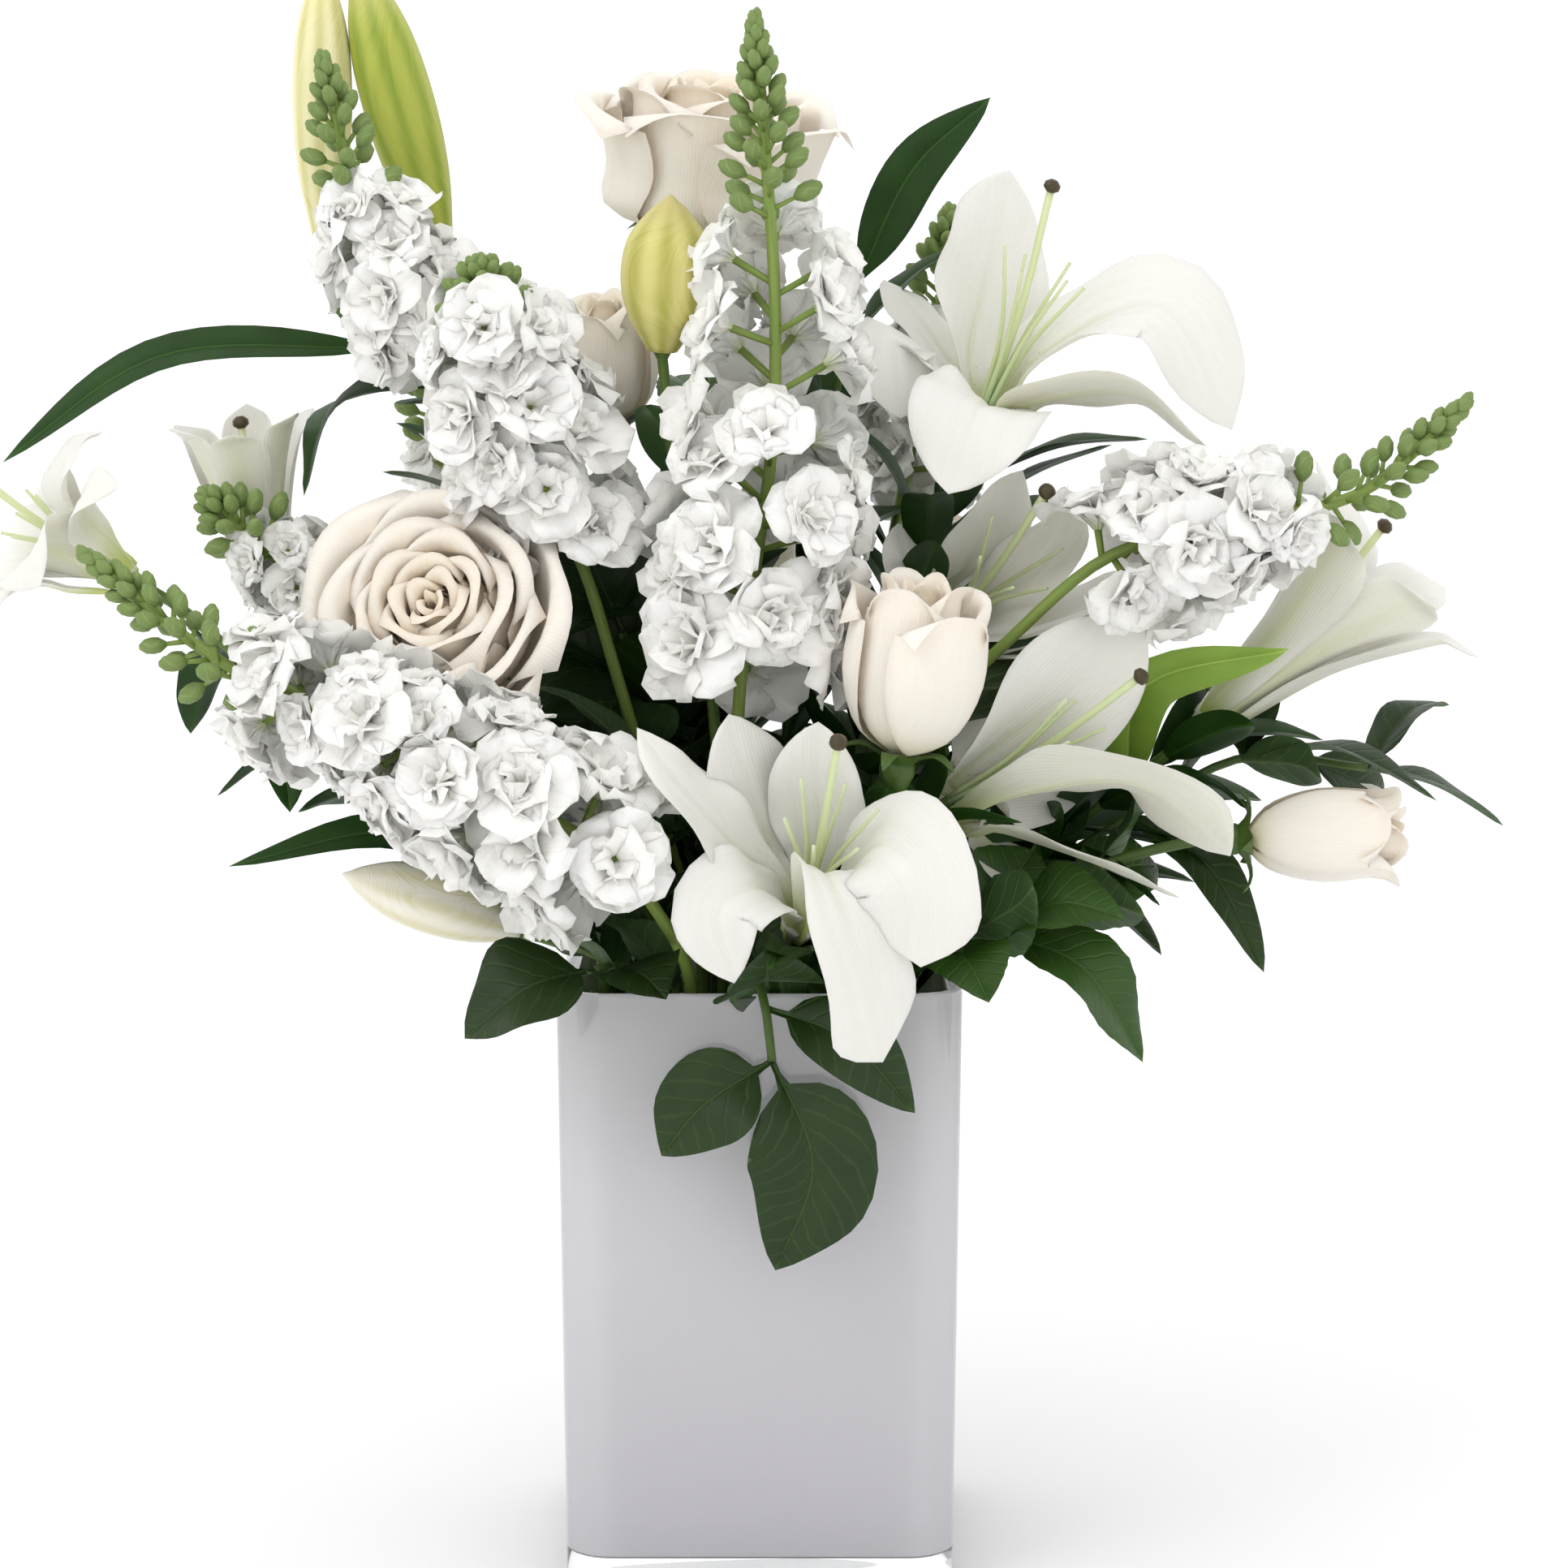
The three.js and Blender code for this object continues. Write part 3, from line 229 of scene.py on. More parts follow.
def blade_faces(top, low, slots, turned, pointed):
    """The faces of both sides, each wound so that it looks outwards, and their slots."""
    faces, slots_of = [], []
    rows, columns = top.shape
    for plate, slot, flip in ((top, slots[0], turned), (low, slots[1], not turned)):
        for i in range(rows - 1):
            for j in range(columns - 1):
                ring = [plate[i, j], plate[i + 1, j], plate[i + 1, j + 1], plate[i, j + 1]]
                if pointed and i == rows - 2:
                    ring = [ring[0], ring[1], ring[3]]
                faces.append([int(k) for k in (ring[::-1] if flip else ring)])
                slots_of.append(slot)
    return faces, slots_of


def lay_blade(skin, grid, lift, thick, length, half_widths, shade=0.5, slots=(0, 0)):
    """Lays a blade over a grid of points (along, across), thick along the unit lifts."""
    rows, columns = grid.shape[:2]
    pointed = np.linalg.norm(grid[-1, 0] - grid[-1, -1]) < POINTED
    u, v = np.linspace(0, 1, rows), np.linspace(-1, 1, columns)
    body = (thick / 2) * np.minimum(1, FULL_BODY * (1 - np.abs(v) ** 3))[None, :, None]
    upper, lower = grid + lift * body, grid - lift * body
    edge = np.zeros((rows, columns), bool)
    edge[:, [0, -1]] = edge[[0, -1], :] = True
    inner = ~edge
    top = np.arange(rows * columns).reshape(rows, columns)
    low = top.copy()
    low[inner] = rows * columns + np.arange(inner.sum())
    upper[edge] = grid[edge]
    if pointed:
        upper[-1] = grid[-1].mean(0)
        top[-1] = low[-1] = top[-1, 0]
    points = np.concatenate([upper.reshape(-1, 3), lower[inner]])

    i, j = rows // 2, columns // 2
    span = np.cross(grid[i + 1, j] - grid[i, j], grid[i, j + 1] - grid[i, j])
    faces, slots_of = blade_faces(top, low, slots, np.dot(span, lift[i, j]) < 0, pointed)

    across = np.broadcast_to(v, (rows, columns))
    along = np.broadcast_to(u[:, None], (rows, columns))
    widths = np.broadcast_to(np.asarray(half_widths)[:, None], (rows, columns))
    shades = np.full_like(along, shade)
    sheet = np.stack([along, across, along * length, across * widths, shades], -1)
    facts = np.concatenate([sheet.reshape(-1, len(FACTS)), sheet[inner]])
    rim = np.concatenate([edge.reshape(-1), np.zeros(inner.sum(), bool)])
    if pointed:
        keep = np.ones(len(points), bool)
        keep[top[-1, 0] + 1 : top[-1, 0] + columns] = False
        new = np.cumsum(keep) - 1
        faces = [[int(new[k]) for k in face] for face in faces]
        points, facts, rim = points[keep], facts[keep], rim[keep]
    skin.add(points, facts, faces, slots_of, rim)


print("a blade ends in one corner where it is under", POINTED, "mm wide")

# %% [markdown]
# ### Tubes
# Stalks, filaments and buds are round. Blender's curve objects can be given a bevel, but here a
# tube has to carry the same facts as a blade, so it is laid ring by ring. Each ring takes its
# direction from the one before it, so the tube never twists.

# %% Laying a tube
FIRST_NORMAL = (0.3, 1, 0.2)  # the way that a tube's first corner looks, as on the solids
LEAST_RADIUS = 0.02  # mm


def lay_tube(skin, centres, radii, sides=8, slot=0, shade=0.5):
    """Lays a round tube over centre points, with a radius at each."""
    centres = [vec(c) for c in centres]
    normal = vec(FIRST_NORMAL)
    points, facts, faces = [], [], []
    walked = 0.0
    for i, (centre, radius) in enumerate(zip(centres, radii)):
        along = unit(centres[min(i + 1, len(centres) - 1)] - centres[max(i - 1, 0)])
        normal = sideways(normal, along)
        across = np.cross(along, normal)
        if i:
            walked += np.linalg.norm(centre - centres[i - 1])
        share = i / (len(centres) - 1)
        for k in range(sides):
            angle = 2 * math.pi * k / sides
            way = math.cos(angle) * normal + math.sin(angle) * across
            points.append(centre + max(radius, LEAST_RADIUS) * way)
            facts.append((share, 2 * k / sides - 1, walked, radius * angle, shade))
    for i in range(len(centres) - 1):
        for k in range(sides):
            a, b = i * sides + k, i * sides + (k + 1) % sides
            faces.append([a, b, b + sides, a + sides])
    last = (len(centres) - 1) * sides
    faces.append(list(range(sides))[::-1])
    faces.append([last + k for k in range(sides)])
    smooth = np.zeros(len(points), bool)
    skin.add(np.array(points), np.array(facts), faces, [slot] * len(faces), smooth)


print("tubes are laid ring by ring")

# %% [markdown]
# ## Reading a choice back from the solid
# When the solids were laid out, a crowded leaf or stem took the first of several ways that was
# clear of its neighbours. The ways could be written down one by one, but each change of the
# layout would make them wrong. The rule for each way is known, so the way that was taken is the
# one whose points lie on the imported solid.

# %% Which way the solid took
trees = {}


def tree_of(node):
    if node not in trees:
        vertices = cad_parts[node].data.vertices
        tree = kdtree.KDTree(len(vertices))
        for i, vertex in enumerate(vertices):
            tree.insert(vertex.co, i)
        tree.balance()
        trees[node] = tree
    return trees[node]


def miss(node, points):
    """How far in mm the middle one of some points is from the nearest corner of a CAD node."""
    return float(np.median([tree_of(node).find(Vector(p) * MM)[2] / MM for p in points]))


def taken(node, ways, points_of, near):
    """The way whose points lie on the node, or None where the best is further off than near."""
    best = min(ways, key=lambda way: miss(node, points_of(way)))
    return best if miss(node, points_of(best)) < near else None


print("corner reader ready")

# %% [markdown]
# ## Finishes
# Every finish starts from the real material. A colour is written as the sRGB hex value that a
# picture editor shows, and one function turns it to the linear light that a shader works in. One
# small function adds any node, with its settings and links.

# %% Colours and nodes
def linear(hex_colour):
    parts = [int(hex_colour[i : i + 2], 16) / 255 for i in (1, 3, 5)]
    light = [c / 12.92 if c <= 0.04045 else ((c + 0.055) / 1.055) ** 2.4 for c in parts]
    return (*light, 1.0)


def add(tree, kind, inputs=(), out=0, **settings):
    """Adds a node and gives one output. An input is a value, or a node's output to link."""
    node = tree.nodes.new(f"ShaderNode{kind}")
    for name, value in settings.items():
        setattr(node, name, value)
    named = inputs.items() if isinstance(inputs, dict) else enumerate(inputs)
    for name, value in named:
        if isinstance(value, bpy.types.NodeSocket):
            tree.links.new(value, node.inputs[name])
        else:
            node.inputs[name].default_value = value
    return node.outputs[out]


print("half grey in linear light:", round(linear("#808080")[0], 3))

# %% [markdown]
# ### Settings that many nodes share
# A smooth Map Range node goes from 0 at its second input to 1 at its third. A Mix node on colours
# has its share as input 0, the colours as inputs 6 and 7, and the mix as output 2. An Attribute
# node reads one of the facts of a skin. Names for these settings keep each finish short.

# %% Shared settings
FACT = {name: {"attribute_name": name, "out": "Fac"} for name in FACTS}
COLOURS = {"data_type": "RGBA", "out": 2}
SMOOTH = {"interpolation_type": "SMOOTHSTEP"}
TIMES = {"operation": "MULTIPLY"}
TIMES_PLUS = {"operation": "MULTIPLY_ADD"}
OVER = {"operation": "DIVIDE"}
LESS = {"operation": "SUBTRACT"}
SIZE = {"operation": "ABSOLUTE"}
print("shared settings:", COLOURS, SMOOTH)

# %% [markdown]
# ### Patches and streaks
# A leaf is blotched in soft patches, and a petal or a stalk is streaked along its fibres. A
# painted picture would need each blade to be unwrapped, so noise is used: as it is for patches,
# and drawn out along the blade, in its own mm, for streaks.

# %% Two patterns and a finish
PETALS_APART = 40.0  # the noise is read this much further on for a petal whose shade is 1 higher


def mottle(tree, size_mm):
    """Soft noise whose patches are about size_mm wide."""
    place = add(tree, "TexCoord", out="Object")
    inputs = {"Vector": place, "Scale": 1 / (size_mm * MM), "Detail": 3.0}
    return add(tree, "TexNoise", inputs, "Fac")


def streaks(tree, across_mm, along_mm):
    """Noise drawn out along a blade, with streaks across_mm wide and along_mm long."""
    across = add(tree, "Math", [add(tree, "Attribute", **FACT["mm_across"]), across_mm], **OVER)
    along = add(tree, "Math", [add(tree, "Attribute", **FACT["mm_along"]), along_mm], **OVER)
    apart = add(tree, "Math", [add(tree, "Attribute", **FACT["shade"]), PETALS_APART], **TIMES)
    place = add(tree, "CombineXYZ", [across, along, apart])
    return add(tree, "TexNoise", {"Vector": place, "Scale": 1.0, "Detail": 2.0}, "Fac")


def finish_named(name, base=None, bump=None, bump_mm=0.2, **values):
    """A Principled finish. base gives its colour, and bump a height, sunk if bump_mm is below 0."""
    finish = bpy.data.materials.new(name)
    finish.use_nodes = True
    tree = finish.node_tree
    shader = tree.nodes["Principled BSDF"]
    for socket, value in values.items():
        shader.inputs[socket.replace("_", " ")].default_value = value
    if base:
        tree.links.new(base(tree), shader.inputs["Base Color"])
    if bump:
        inputs = {"Height": bump(tree), "Strength": 1.0, "Distance": abs(bump_mm) * MM}
        relief = add(tree, "Bump", inputs, invert=bump_mm < 0)
        tree.links.new(relief, shader.inputs["Normal"])
    return finish


print("patterns ready: patches and streaks")

# %% [markdown]
# ### The veins of a petal
# A petal is a few layers of clear, wet cells under a skin of tiny domes, with fine veins along it.
# Light scatters between the cells and comes out close by, so a petal is bright with soft shadows.
# A translucent shader would need sheets with no thickness, so a little subsurface scattering does
# this. The domes give a satin sheen with no sharp highlight.

# %% Petal veins
CELLS = (1.0, 0.92, 0.75)  # how far each colour of light wanders in a petal, as shares
VEIN = 1.1  # mm between veins: real ones are nearer 0.5 mm, too fine to show in the render
VEIN_HEIGHT, STREAK_HEIGHT = 0.12, 0.6


def petal_veins(tree):
    across = add(tree, "Attribute", **FACT["mm_across"])
    turns = add(tree, "Math", [across, 2 * math.pi / VEIN], **TIMES)
    wave = add(tree, "Math", [turns], operation="SINE")
    fine = add(tree, "Math", [wave, VEIN_HEIGHT, 0.5], **TIMES_PLUS)
    return add(tree, "Math", [streaks(tree, 2.0, 14.0), STREAK_HEIGHT, fine], **TIMES_PLUS)


print("petal veins are", VEIN, "mm apart")

# %% [markdown]
# ### Lily tepals
# A white lily's tepal is greenish at the throat and along the rib, with small raised warts near
# the throat. Both sides could share one finish, but in bud the outside was the flower's skin. It
# stays duller and greener, so each side has its own.

# %% Lily finishes
# Soft white with a faint green rib: the eye sees a clean, thick petal with a green throat.
INSIDE = {
    "white": ("#E0DED7", "#E8E6DF"), "streak": (3.0, 30.0), "rib": "#D8DDB4", "rib_across": (3.5, 0.3),
    "rib_along": (0.75, 0.2), "rib_share": 0.45, "throat": "#BCC975", "throat_along": (0.26, 0.04),
    "throat_share": 0.85,
}
# Yellower, with a broader green rib: the eye tells the back of a tepal from its face.
OUTSIDE = {
    "white": ("#E4E3D6", "#E4E3D6"), "streak": (3.0, 30.0), "rib": "#C9D098", "rib_across": (5.0, 0.5),
    "rib_along": (1.0, 0.3), "rib_share": 0.5, "throat": "#B7C46C", "throat_along": (0.35, 0.03),
    "throat_share": 1.0,
}
WART, WART_HEIGHT = 2.2, 0.8  # mm from wart to wart, and their height beside the veins'


def tepal_colour(side):
    """A side's own white, with its rib and throat."""

    def colour(tree):
        along = add(tree, "Attribute", **FACT["along"])
        across = add(tree, "Math", [add(tree, "Attribute", **FACT["mm_across"])], **SIZE)
        whites = {6: linear(side["white"][0]), 7: linear(side["white"][1])}
        white = add(tree, "Mix", {0: streaks(tree, *side["streak"]), **whites}, **COLOURS)
        near = add(tree, "MapRange", [across, *side["rib_across"]], **SMOOTH)
        low = add(tree, "MapRange", [along, *side["rib_along"]], **SMOOTH)
        rib = add(tree, "Math", [near, low], **TIMES)
        rib = add(tree, "Math", [rib, side["rib_share"]], **TIMES)
        ribbed = add(tree, "Mix", {0: rib, 6: white, 7: linear(side["rib"])}, **COLOURS)
        throat = add(tree, "MapRange", [along, *side["throat_along"]], **SMOOTH)
        throat = add(tree, "Math", [throat, side["throat_share"]], **TIMES)
        return add(tree, "Mix", {0: throat, 6: ribbed, 7: linear(side["throat"])}, **COLOURS)

    return colour


def lily_relief(tree):
    """Warts near the throat, over the veins."""
    place = add(tree, "TexCoord", out="Object")
    cells = add(tree, "TexVoronoi", {"Vector": place, "Scale": 1 / (WART * MM)}, "Distance")
    knobs = add(tree, "MapRange", [cells, 0.3, 0.1], **SMOOTH)
    near = add(tree, "MapRange", [add(tree, "Attribute", **FACT["along"]), 0.5, 0.2], **SMOOTH)
    warts = add(tree, "Math", [knobs, near], **TIMES)
    return add(tree, "Math", [warts, WART_HEIGHT, petal_veins(tree)], **TIMES_PLUS)


THICK_PETAL = {
    "IOR": 1.4, "Subsurface_Weight": 0.35, "Subsurface_Radius": CELLS, "Subsurface_Scale": 2.4 * MM,
    "Sheen_Weight": 0.12,
}
LILY_TEPAL = finish_named(
    "lily_tepal", tepal_colour(INSIDE), lily_relief, bump_mm=0.25, Roughness=0.42, **THICK_PETAL,
)
LILY_OUTSIDE = finish_named(
    "lily_tepal_outside", tepal_colour(OUTSIDE), petal_veins, bump_mm=0.25, Roughness=0.45, **THICK_PETAL,
)
print("lily finishes:", LILY_TEPAL.name, LILY_OUTSIDE.name)

# %% [markdown]
# ### Stock petals
# A stock's petal is thinner than a lily's, papery and pure white, with a green claw where it is
# fixed. It could be the lily's finish made paler, but it lets more light through and has less
# gloss, so it gets a wider scattering and a rougher skin.

# %% Stock finish
STOCK_WHITES, STOCK_CLAW = ("#FAF9F3", "#FEFDF9"), "#DCE3B6"


def stock_colour(tree):
    along = add(tree, "Attribute", **FACT["along"])
    whites = {6: linear(STOCK_WHITES[0]), 7: linear(STOCK_WHITES[1])}
    white = add(tree, "Mix", {0: streaks(tree, 2.5, 12.0), **whites}, **COLOURS)
    claw = add(tree, "MapRange", [along, 0.32, 0.0], **SMOOTH)
    return add(tree, "Mix", {0: claw, 6: white, 7: linear(STOCK_CLAW)}, **COLOURS)


# The whitest of the three flowers: a crumpled head of it keeps soft grey shadows, never black.
STOCK_PETAL = finish_named(
    "stock_petal", stock_colour, petal_veins, bump_mm=0.2, Roughness=0.6, IOR=1.38, Subsurface_Weight=0.45,
    Subsurface_Radius=(1.0, 1.0, 0.95), Subsurface_Scale=2.5 * MM, Sheen_Weight=0.1,
)
print("stock finish:", STOCK_PETAL.name)

# %% [markdown]
# ### Rose petals
# A cream rose is palest on its outer petals and warmest in its heart, where light goes from petal
# to petal and takes up their colour each time. A longer scattering in red gives some of that, and
# the petal's shade number does the rest: the heart's petals are drawn in a warmer cream.

# %% Rose finish
ROSE_OUTER, ROSE_HEART, ROSE_FOOT = ("#F3E8D8", "#F8EFE2"), ("#EFDEC6", "#F5E8D6"), "#EFE3B4"


def rose_colour(tree):
    along, shade = (add(tree, "Attribute", **FACT[name]) for name in ("along", "shade"))
    creams = []
    for dark, light in (ROSE_OUTER, ROSE_HEART):
        streaked = {0: streaks(tree, 3.0, 16.0), 6: linear(dark), 7: linear(light)}
        creams.append(add(tree, "Mix", streaked, **COLOURS))
    inner = add(tree, "MapRange", [shade, 0.2, 0.85], **SMOOTH)
    petal = add(tree, "Mix", {0: inner, 6: creams[0], 7: creams[1]}, **COLOURS)
    foot = add(tree, "MapRange", [along, 0.35, 0.0], **SMOOTH)
    return add(tree, "Mix", {0: foot, 6: petal, 7: linear(ROSE_FOOT)}, **COLOURS)


# Velvety: the sheen lights the rolled lips, so the eye can follow each petal's edge.
ROSE_PETAL = finish_named(
    "rose_petal", rose_colour, petal_veins, bump_mm=0.2, Roughness=0.55, IOR=1.4, Subsurface_Weight=0.4,
    Subsurface_Radius=(1.0, 0.85, 0.7), Subsurface_Scale=3.0 * MM, Sheen_Weight=0.2,
)
print("petal finishes:", len(bpy.data.materials))

# %% [markdown]
# ### Stalks
# A stalk is green skin over wet fibres: it has a dull gloss and long streaks, which the eye reads
# as something that grew. A stock's is covered in fine grey hairs, too fine to draw, so it is
# paler and rougher. A lily's filaments are the same skin, almost white, and its stigma is dark
# and sticky.

# %% Stalk finishes
def fibres(tree):
    return streaks(tree, 0.7, 12.0)


def stalk_finish(name, dark, light, roughness=0.45, **values):
    def colour(tree):
        return add(tree, "Mix", {0: streaks(tree, 1.2, 25.0), 6: linear(dark), 7: linear(light)}, **COLOURS)

    return finish_named(name, colour, fibres, bump_mm=0.2, Roughness=roughness, IOR=1.42, **values)


# Mid green, a little shiny: it stands apart from the darker leaves behind it.
LILY_STALK = stalk_finish("lily_stalk", "#3F5A22", "#637F36")
ROSE_STALK = stalk_finish("rose_stalk", "#364F20", "#56702F")
# Yellow-green and dull, which looks soft beside the white florets.
STOCK_STALK = stalk_finish("stock_stalk", "#6A8338", "#8FA352", 0.5)
STOCK_BUD = stalk_finish("stock_bud", "#566F33", "#94A865", 0.55)
# Pale green threads that glow a little, and a wet dark knob that catches a small highlight.
LILY_THREAD = stalk_finish("lily_filament", "#B9C98A", "#DCE5BC", 0.4, Subsurface_Weight=0.2)
STIGMA = stalk_finish("lily_stigma", "#2E2718", "#55482A", 0.3)
print("with stalk finishes:", len(bpy.data.materials))

# %% [markdown]
# ### Leaves
# A leaf of salal or ruscus is thick and waxy, with a pale midrib and side veins every few
# millimetres. A lily's veins run nearly along its leaf. Veins could be cut into the mesh, but a
# height in the finish is enough for such shallow lines, and the same lines tint the colour.

# %% Leaf veins and leaf colour
VEIN_HALF = 0.14  # half of a side vein's width, as a share of the spacing
SIDE_VEIN = 0.55  # a side vein's height beside the midrib's
MIDRIB = (1.1, 0.25)  # mm from the middle where the midrib starts, and where it is full


def leaf_veins(spacing_mm, slant):
    """1 on the midrib, and less on side veins that leave it slanting to the tip."""

    def height(tree):
        across = add(tree, "Math", [add(tree, "Attribute", **FACT["mm_across"])], **SIZE)
        behind = add(tree, "Math", [across, slant], **TIMES)
        climb = add(tree, "Math", [add(tree, "Attribute", **FACT["mm_along"]), behind], **LESS)
        wobble = add(tree, "Math", [mottle(tree, 9.0), 0.9], **TIMES)
        count = add(tree, "Math", [climb, spacing_mm], **OVER)
        count = add(tree, "Math", [count, wobble], operation="ADD")
        phase = add(tree, "Math", [count], operation="FRACT")
        off = add(tree, "Math", [add(tree, "Math", [phase, 0.5], **LESS)], **SIZE)
        side = add(tree, "MapRange", [off, VEIN_HALF, 0.0], **SMOOTH)
        side = add(tree, "Math", [side, SIDE_VEIN], **TIMES)
        rib = add(tree, "MapRange", [across, *MIDRIB], **SMOOTH)
        return add(tree, "Math", [side, rib], operation="MAXIMUM")

    return height


def leaf_finish(name, greens, spacing_mm, slant, bump_mm, vein_share=0.3, **values):
    """greens: the dark and light of its patches, and its veins."""
    veins = leaf_veins(spacing_mm, slant)
    dark, light, pale = (linear(each) for each in greens)

    def colour(tree):
        patchy = add(tree, "Mix", {0: mottle(tree, 14.0), 6: dark, 7: light}, **COLOURS)
        share = add(tree, "Math", [veins(tree), vein_share], **TIMES)
        return add(tree, "Mix", {0: share, 6: patchy, 7: pale}, **COLOURS)

    return finish_named(name, colour, veins, bump_mm=bump_mm, **values)


print("a side vein is", SIDE_VEIN, "of the midrib's height")

# %% [markdown]
# ### The leaves' own greens
# The greens are far darker than the petals, and that contrast makes the whites look white. They
# could all share one green, but a bouquet mixes plants: blackish salal, grey-green stock, deep
# green lily, and one young lily leaf, yellow-green and painted brighter as if light came through it.

# %% Leaf finishes
# Dark and waxy: a broad soft highlight, with sunken veins that break it up.
SALAL = leaf_finish(
    "salal_leaf", ("#152A09", "#273F12", "#4A672A"), 7.0, 1.1, -0.25, Roughness=0.42, IOR=1.38,
)
# Dull and paler: a curled edge shows against the dark upper side.
SALAL_UNDER = leaf_finish(
    "salal_leaf_underside", ("#2F4A24", "#456234", "#7A9257"), 7.0, 1.1, 0.25, Roughness=0.6,
)
# Long, almost parallel veins: the leaf looks like a blade of grass.
LILY_LEAF = leaf_finish(
    "lily_leaf", ("#15330B", "#2A5014", "#436B24"), 3.0, 12.0, -0.15, 0.35, Roughness=0.45, IOR=1.36,
)
# Grey-green and rough, from the same fine hairs as the stalk's.
STOCK_LEAF = leaf_finish(
    "stock_leaf", ("#33482A", "#4C6138", "#6F8355"), 4.0, 2.0, -0.15, 0.35, Roughness=0.55,
)
# Yellow-green with painted backlight: drawn brighter as if lit from behind, the one bright leaf at the
# right.
FRESH_BACKLIT_LEAF = leaf_finish(
    "fresh_backlit_lily_leaf", ("#6F9A2E", "#9ABB45", "#B9CD6A"), 3.0, 12.0, -0.15, 0.35, Roughness=0.4,
)
# Quilted between deep veins, so the light breaks up more than on salal.
ROSE_LEAF = leaf_finish(
    "rose_leaf", ("#1C3B0C", "#3A5C1B", "#5F8236"), 5.0, 0.9, -0.3, Roughness=0.45, IOR=1.38,
)
print("with leaf finishes:", len(bpy.data.materials))

# %% [markdown]
# ### Lily buds
# A closed bud shows the outsides of its tepals, green along the ribs and paler between them. One
# colour for each would look like wax, so the ribs are a wave round the bud, made uneven by
# streaks.

# %% Bud finishes
BUD_RIBS = 8


def bud_colour(rib, flank, tip):
    def colour(tree):
        across = add(tree, "Attribute", **FACT["across"])
        turns = add(tree, "Math", [across, BUD_RIBS * math.pi], **TIMES)
        wave = add(tree, "Math", [turns], operation="COSINE")
        uneven = add(tree, "Math", [streaks(tree, 2.0, 30.0), 2.2], **TIMES)
        both = add(tree, "Math", [wave, uneven], operation="ADD")
        share = add(tree, "MapRange", [both, -0.4, 3.6], **SMOOTH)
        body = add(tree, "Mix", {0: share, 6: linear(flank), 7: linear(rib)}, **COLOURS)
        end = add(tree, "MapRange", [add(tree, "Attribute", **FACT["along"]), 0.7, 1.0], **SMOOTH)
        return add(tree, "Mix", {0: end, 6: body, 7: linear(tip)}, **COLOURS)

    return colour


def bud_finish(name, rib, flank, tip, glow):
    """glow is the share of light that scatters inside, more in a riper bud."""
    return finish_named(
        name, bud_colour(rib, flank, tip), fibres, bump_mm=0.3, Roughness=0.42, IOR=1.42,
        Subsurface_Weight=glow, Subsurface_Radius=CELLS, Subsurface_Scale=2.0 * MM,
    )


# From hard green to soft cream: the eye sees buds of four ages.
BUD_GREEN = bud_finish("green_lily_bud", "#7C9628", "#B4BC50", "#CFCB7C", 0.15)
BUD_CREAM = bud_finish("cream_lily_bud", "#C5C176", "#ECE6B8", "#E6DB96", 0.2)
BUD_RIPE = bud_finish("ripe_lily_bud", "#A3A038", "#D6CF83", "#C9BE7A", 0.2)
BUD_PALE = bud_finish("pale_lily_bud", "#D5D0A0", "#F4F0E2", "#EFE8D6", 0.25)
print("with bud finishes:", len(bpy.data.materials))

# %% [markdown]
# ### Glass and water
# The vase is cased glass: thick clear soda-lime glass, IOR 1.52, over a thin layer of opaque
# white glass, blown into a square mould and fire-polished, so both are smooth. The white could be
# a coat of paint, but the clear layer gives the corners and the foot their depth, where one looks
# through it edgeways. The white looks faintly grey-violet towards the foot, where less light
# reaches it.

# %% Glass finishes
# painted shade: the white is drawn a little greyer towards the foot, where less light reaches it
WHITE_FOOT, WHITE_TOP, WHITE_FROM = "#F2EFF5", "#FDFBFD", 0.19  # hex, hex, and metres up

# Clear and smooth: the eye sees only bright lines at the corners and the foot.
CLEAR_GLASS = finish_named(
    "clear_soda_lime_glass", Base_Color=linear("#F9FAFA"), Roughness=0.02, IOR=1.52,
    Transmission_Weight=1.0,
)


def white_glass_colour(tree):
    place = add(tree, "TexCoord", out="Object")
    height = add(tree, "SeparateXYZ", [place], "Z")
    share = add(tree, "MapRange", [height, 0.0, WHITE_FROM], **SMOOTH)
    # painted shade: a darker white at the foot, lighter above
    return add(tree, "Mix", {0: share, 6: linear(WHITE_FOOT), 7: linear(WHITE_TOP)}, **COLOURS)


# Milky and even, with a faint mirror: it reads as glass and not as card.
WHITE_GLASS = finish_named("white_opal_glass", white_glass_colour, Roughness=0.12, IOR=1.5)
# Water with a trace of green from the stems, seen only from above.
STILL_WATER = finish_named(
    "still_water", Base_Color=linear("#F1F8F5"), Roughness=0.02, IOR=1.333, Transmission_Weight=1.0,
)
print("finishes:", len(bpy.data.materials))

# %% [markdown]
# ## The vase
# Both layers of glass have the same rounded plan, inset from one another. A bevelled box would be
# as round at its foot as at its corners, so each wall is a stack of rounded squares. The corners
# get twelve steps each, so the glass bends light smoothly.

# %% The vase's plan
VASE = {"side": 127, "height": 194, "draft": 2, "corner": 15, "wall": 4.5, "floor": 12}
GAP = 0.3
LINING = 1.0
FUSED = 0.05  # the white layer is fused to the clear one, so no air shows between them
CORNER_STEPS = 12


def rounded_square(inset, z):
    """Points round the vase's plan at a height, inset from the outside of the glass."""
    r = VASE["corner"] - inset
    half = VASE["side"] / 2 - inset - VASE["draft"] * (1 - z / VASE["height"])
    points = []
    for quarter in range(4):
        for k in range(CORNER_STEPS + 1):
            angle = math.radians(90 * (quarter + k / CORNER_STEPS))
            turn = math.radians(90 * quarter)
            cx, cy = half - r, half - r
            x = cx * math.cos(turn) - cy * math.sin(turn) + r * math.cos(angle)
            y = cx * math.sin(turn) + cy * math.cos(turn) + r * math.sin(angle)
            points.append((x, y, z))
    return np.array(points)


print("points round the plan:", len(rounded_square(0, 0)))

